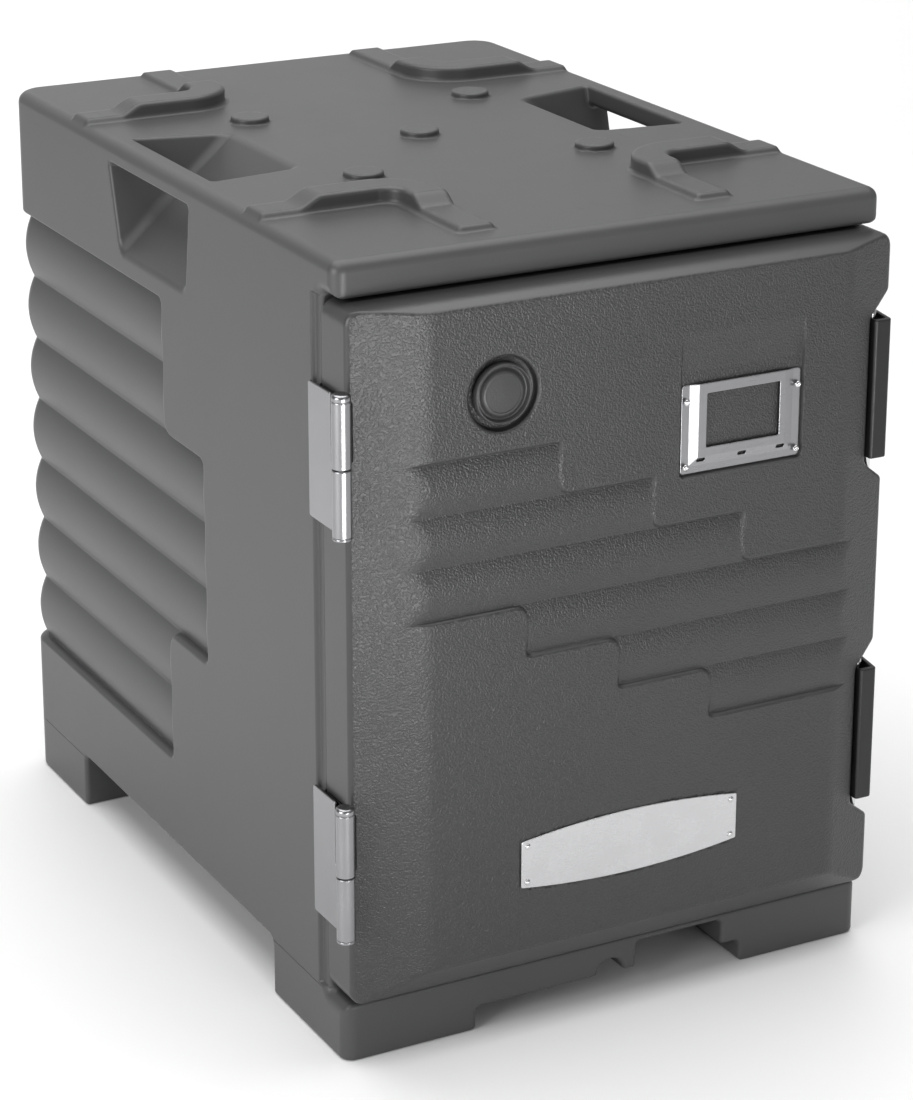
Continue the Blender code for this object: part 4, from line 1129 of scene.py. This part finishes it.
# ---- latches ----
def make_latch(place, middle):
    foot_low, foot_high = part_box(place + "_latch_bracket")
    half = 0.0545
    hook = [(0.2090, -0.3205), (0.2205, -0.3205), (0.2225, -0.3185), (0.2262, -0.2945)]
    hook += [(0.2330, -0.2700), (0.2420, -0.2350)]
    for i in range(7):
        angle = math.pi * i / 6
        hook.append((LATCH_X + 0.0050 * math.cos(angle), LATCH_Y + 0.0050 * math.sin(angle)))
    hook += [(0.2325, -0.2510), (0.2288, -0.2600), (0.2288, -0.2690), (0.2228, -0.2930), (0.2192, -0.3160)]
    hook += [(0.2098, -0.3160), (0.2098, -0.3110), (0.2075, -0.3110), (0.2075, -0.3190)]
    section = softened(hook, 0.0010, 3)

    def lever(x, y, z):
        bar = both(outline_field(section, x, y), np.abs(z - middle) - half, 0.0011)
        return less(bar, np.hypot(x - LATCH_X, y - LATCH_Y) - LATCH_BORE_R, 0.0003)

    def bracket(x, y, z):
        plate = soft_box(y, z, foot_low.y, foot_high.y, foot_low.z, foot_high.z, 0.003)
        plate = both(plate, between(x, foot_low.x, 0.2314), 0.0008)
        out = np.abs(z - middle)
        ear = np.hypot(x - (LATCH_X - 0.0005), y - LATCH_Y) - 0.0055
        neck = np.maximum(between(y, -0.2320, -0.2200), between(x, 0.2300, LATCH_X))
        ear = both(np.minimum(ear, neck), between(out, half + 0.0007, 0.0600), 0.0008)
        shape = either(plate, ear, 0.0015)
        return less(shape, np.hypot(x - LATCH_X, y - LATCH_Y) - LATCH_BORE_R, 0.0003)

    step = 0.0008
    for name, field, node, body in (
        ("bracket_moulded", bracket, "_latch_bracket", "body"),
        ("lever_moulded", lever, "_latch_lever", place + "_latch"),
    ):
        grid = box_grid(*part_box(place + node), step * 0.6, step * 0.6, step)
        moulded(f"{place}_latch_{name}", field, grid, 24000, NYLON, body, "latch_nylon", place + node)
    for ending, body in (("_latch_pivot_pin", "body"), ("_latch_keeper_pin", "door")):
        node = place + ending
        low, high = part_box(node)
        centre = ((low.x + high.x) / 2, (low.y + high.y) / 2)
        radius = (high.x - low.x) / 2
        edge, shoulder = 0.0008, 0.0003
        profile = [
            (low.z, radius - edge),
            (low.z + shoulder, radius - shoulder),
            (low.z + edge, radius),
            (high.z - edge, radius),
            (high.z - shoulder, radius - shoulder),
            (high.z, radius - edge),
        ]
        turned(node + "_turned", "z", centre, profile, SCREW_STEEL, body, "fastener_steel", node)


# ---- pieces kept from the frame ----
def finish_kept_nodes():
    """The CAD pieces that are right as they are get their finish and a fine broken edge."""
    surfaces = {"foam": FOAM, "plug": PLUG, "seal": RUBBER, "screw": SCREW_STEEL}
    for name, obj in frame["nodes"].items():
        if obj.hide_render:
            continue
        kind = next(key for key in ("plug", "foam", "seal", "screw") if key in name)
        obj.data.materials.clear()
        obj.data.materials.append(surfaces[kind])
        if kind != "foam":
            edge = obj.modifiers.new("broken_edge", "BEVEL")
            edge.width = 0.0002
            edge.segments = 2
            edge.limit_method = "ANGLE"
            edge.harden_normals = True


# ---- studio ----
def pale_floor():
    mat, tree, shader = new_material("pale_floor")
    cloud = place_group(tree, HANDLING, Cloud_scale=1.2, Scuffs=0.0)["Cloud"]
    tree.links.new(tinted(tree, cloud, (0.86, 0.86, 0.86), (0.90, 0.90, 0.90)), shader["Base Color"])
    tree.links.new(maths(tree, "MULTIPLY_ADD", cloud, 0.1, 0.6), shader["Roughness"])
    return mat


def make_floor():
    """A wide floor that curves up into a wall well behind the carrier."""
    profile = [(-6.0, 0.0), (6.0, 0.0)]
    profile += [(6.0 + 3.0 * math.sin(a), 3.0 - 3.0 * math.cos(a)) for a in np.linspace(0.1, math.pi / 2, 12)]
    profile.append((9.0, 9.0))
    verts = [(x, y, z) for y, z in profile for x in (-12.0, 12.0)]
    faces = [(2 * i, 2 * i + 1, 2 * i + 3, 2 * i + 2) for i in range(len(profile) - 1)]
    mesh = bpy.data.meshes.new("studio_floor")
    mesh.from_pydata(verts, [], faces)
    mesh.materials.append(pale_floor())
    added("studio_floor", mesh)


def softbox(name, place, target, size, power, tall=None):
    light = bpy.data.lights.new(name, "AREA")
    light.shape = "RECTANGLE"
    light.size = size
    light.size_y = tall or size
    light.energy = power
    obj = added(name, light)
    obj.location = place
    obj.rotation_euler = (Vector(target) - Vector(place)).to_track_quat("-Z", "Y").to_euler()
    obj.visible_camera = False


def make_world():
    """White surroundings to look at, that give only a weak fill to the carrier itself."""
    world = bpy.data.worlds.new("studio")
    world.use_nodes = True
    tree = world.node_tree
    fill = tree.nodes["Background"]
    fill.inputs["Color"].default_value = (1.0, 1.0, 1.0, 1.0)
    fill.inputs["Strength"].default_value = 0.28
    backdrop = put(tree, "ShaderNodeBackground", Color=(1.0, 1.0, 1.0, 1.0), Strength=1.0)
    seen = put(tree, "ShaderNodeLightPath").outputs["Is Camera Ray"]
    mix = put(tree, "ShaderNodeMixShader", _0=seen, _1=fill.outputs[0], _2=backdrop.outputs[0])
    tree.links.new(mix.outputs[0], tree.nodes["World Output"].inputs["Surface"])
    bpy.context.scene.world = world


def make_lights():
    softbox("overhead", (0.0, 0.4, 3.4), (0.0, 0.4, 0.0), 4.2, 165.0)
    softbox("left_bank", (-3.0, -1.05, 1.1), (0.0, -0.2, 0.3), 1.8, 62.0, 1.8)
    softbox("front_strip", (0.20, -3.2, 0.5), (0.0, -0.3, 0.3), 0.5, 16.0, 1.6)
    softbox("floor_glow", (-0.28, -1.65, 0.02), (-0.28, -1.60, 1.0), 0.6, 36.0, 1.3)
    softbox("backdrop_wash", (1.5, 3.4, 4.4), (2.5, 8.5, 1.5), 4.0, 230.0, 2.0)


def make_camera():
    """A long lens at the left front, a little above; the view is kept level with a small shift."""
    data = bpy.data.cameras.new("camera")
    data.sensor_fit = "AUTO"
    data.sensor_width = 36.0
    data.lens = 107.87
    data.shift_y = -0.12
    camera = added("camera", data)
    yaw, pitch, roll = 0.4896, 0.3196, -0.0015
    ahead = Vector((math.sin(yaw) * math.cos(pitch), math.cos(yaw) * math.cos(pitch), -math.sin(pitch)))
    turn = ahead.to_track_quat("-Z", "Y").to_matrix() @ Matrix.Rotation(-roll, 3, "Z")
    camera.matrix_world = Matrix.Translation((-1.1728, -2.2475, 1.2192)) @ turn.to_4x4()
    bpy.context.scene.camera = camera


make_camera()
make_body()
make_door()
make_seal()
make_vent()
make_label_frame()
make_nameplate()
make_fasteners()
for hinge_place, hinge_split in HINGE_SPLITS.items():
    make_hinge(hinge_place, hinge_split)
for latch_place, latch_middle in LATCH_MIDDLES.items():
    make_latch(latch_place, latch_middle)
finish_kept_nodes()
make_floor()
make_world()
make_lights()
bpy.context.scene.view_settings.view_transform = "Standard"
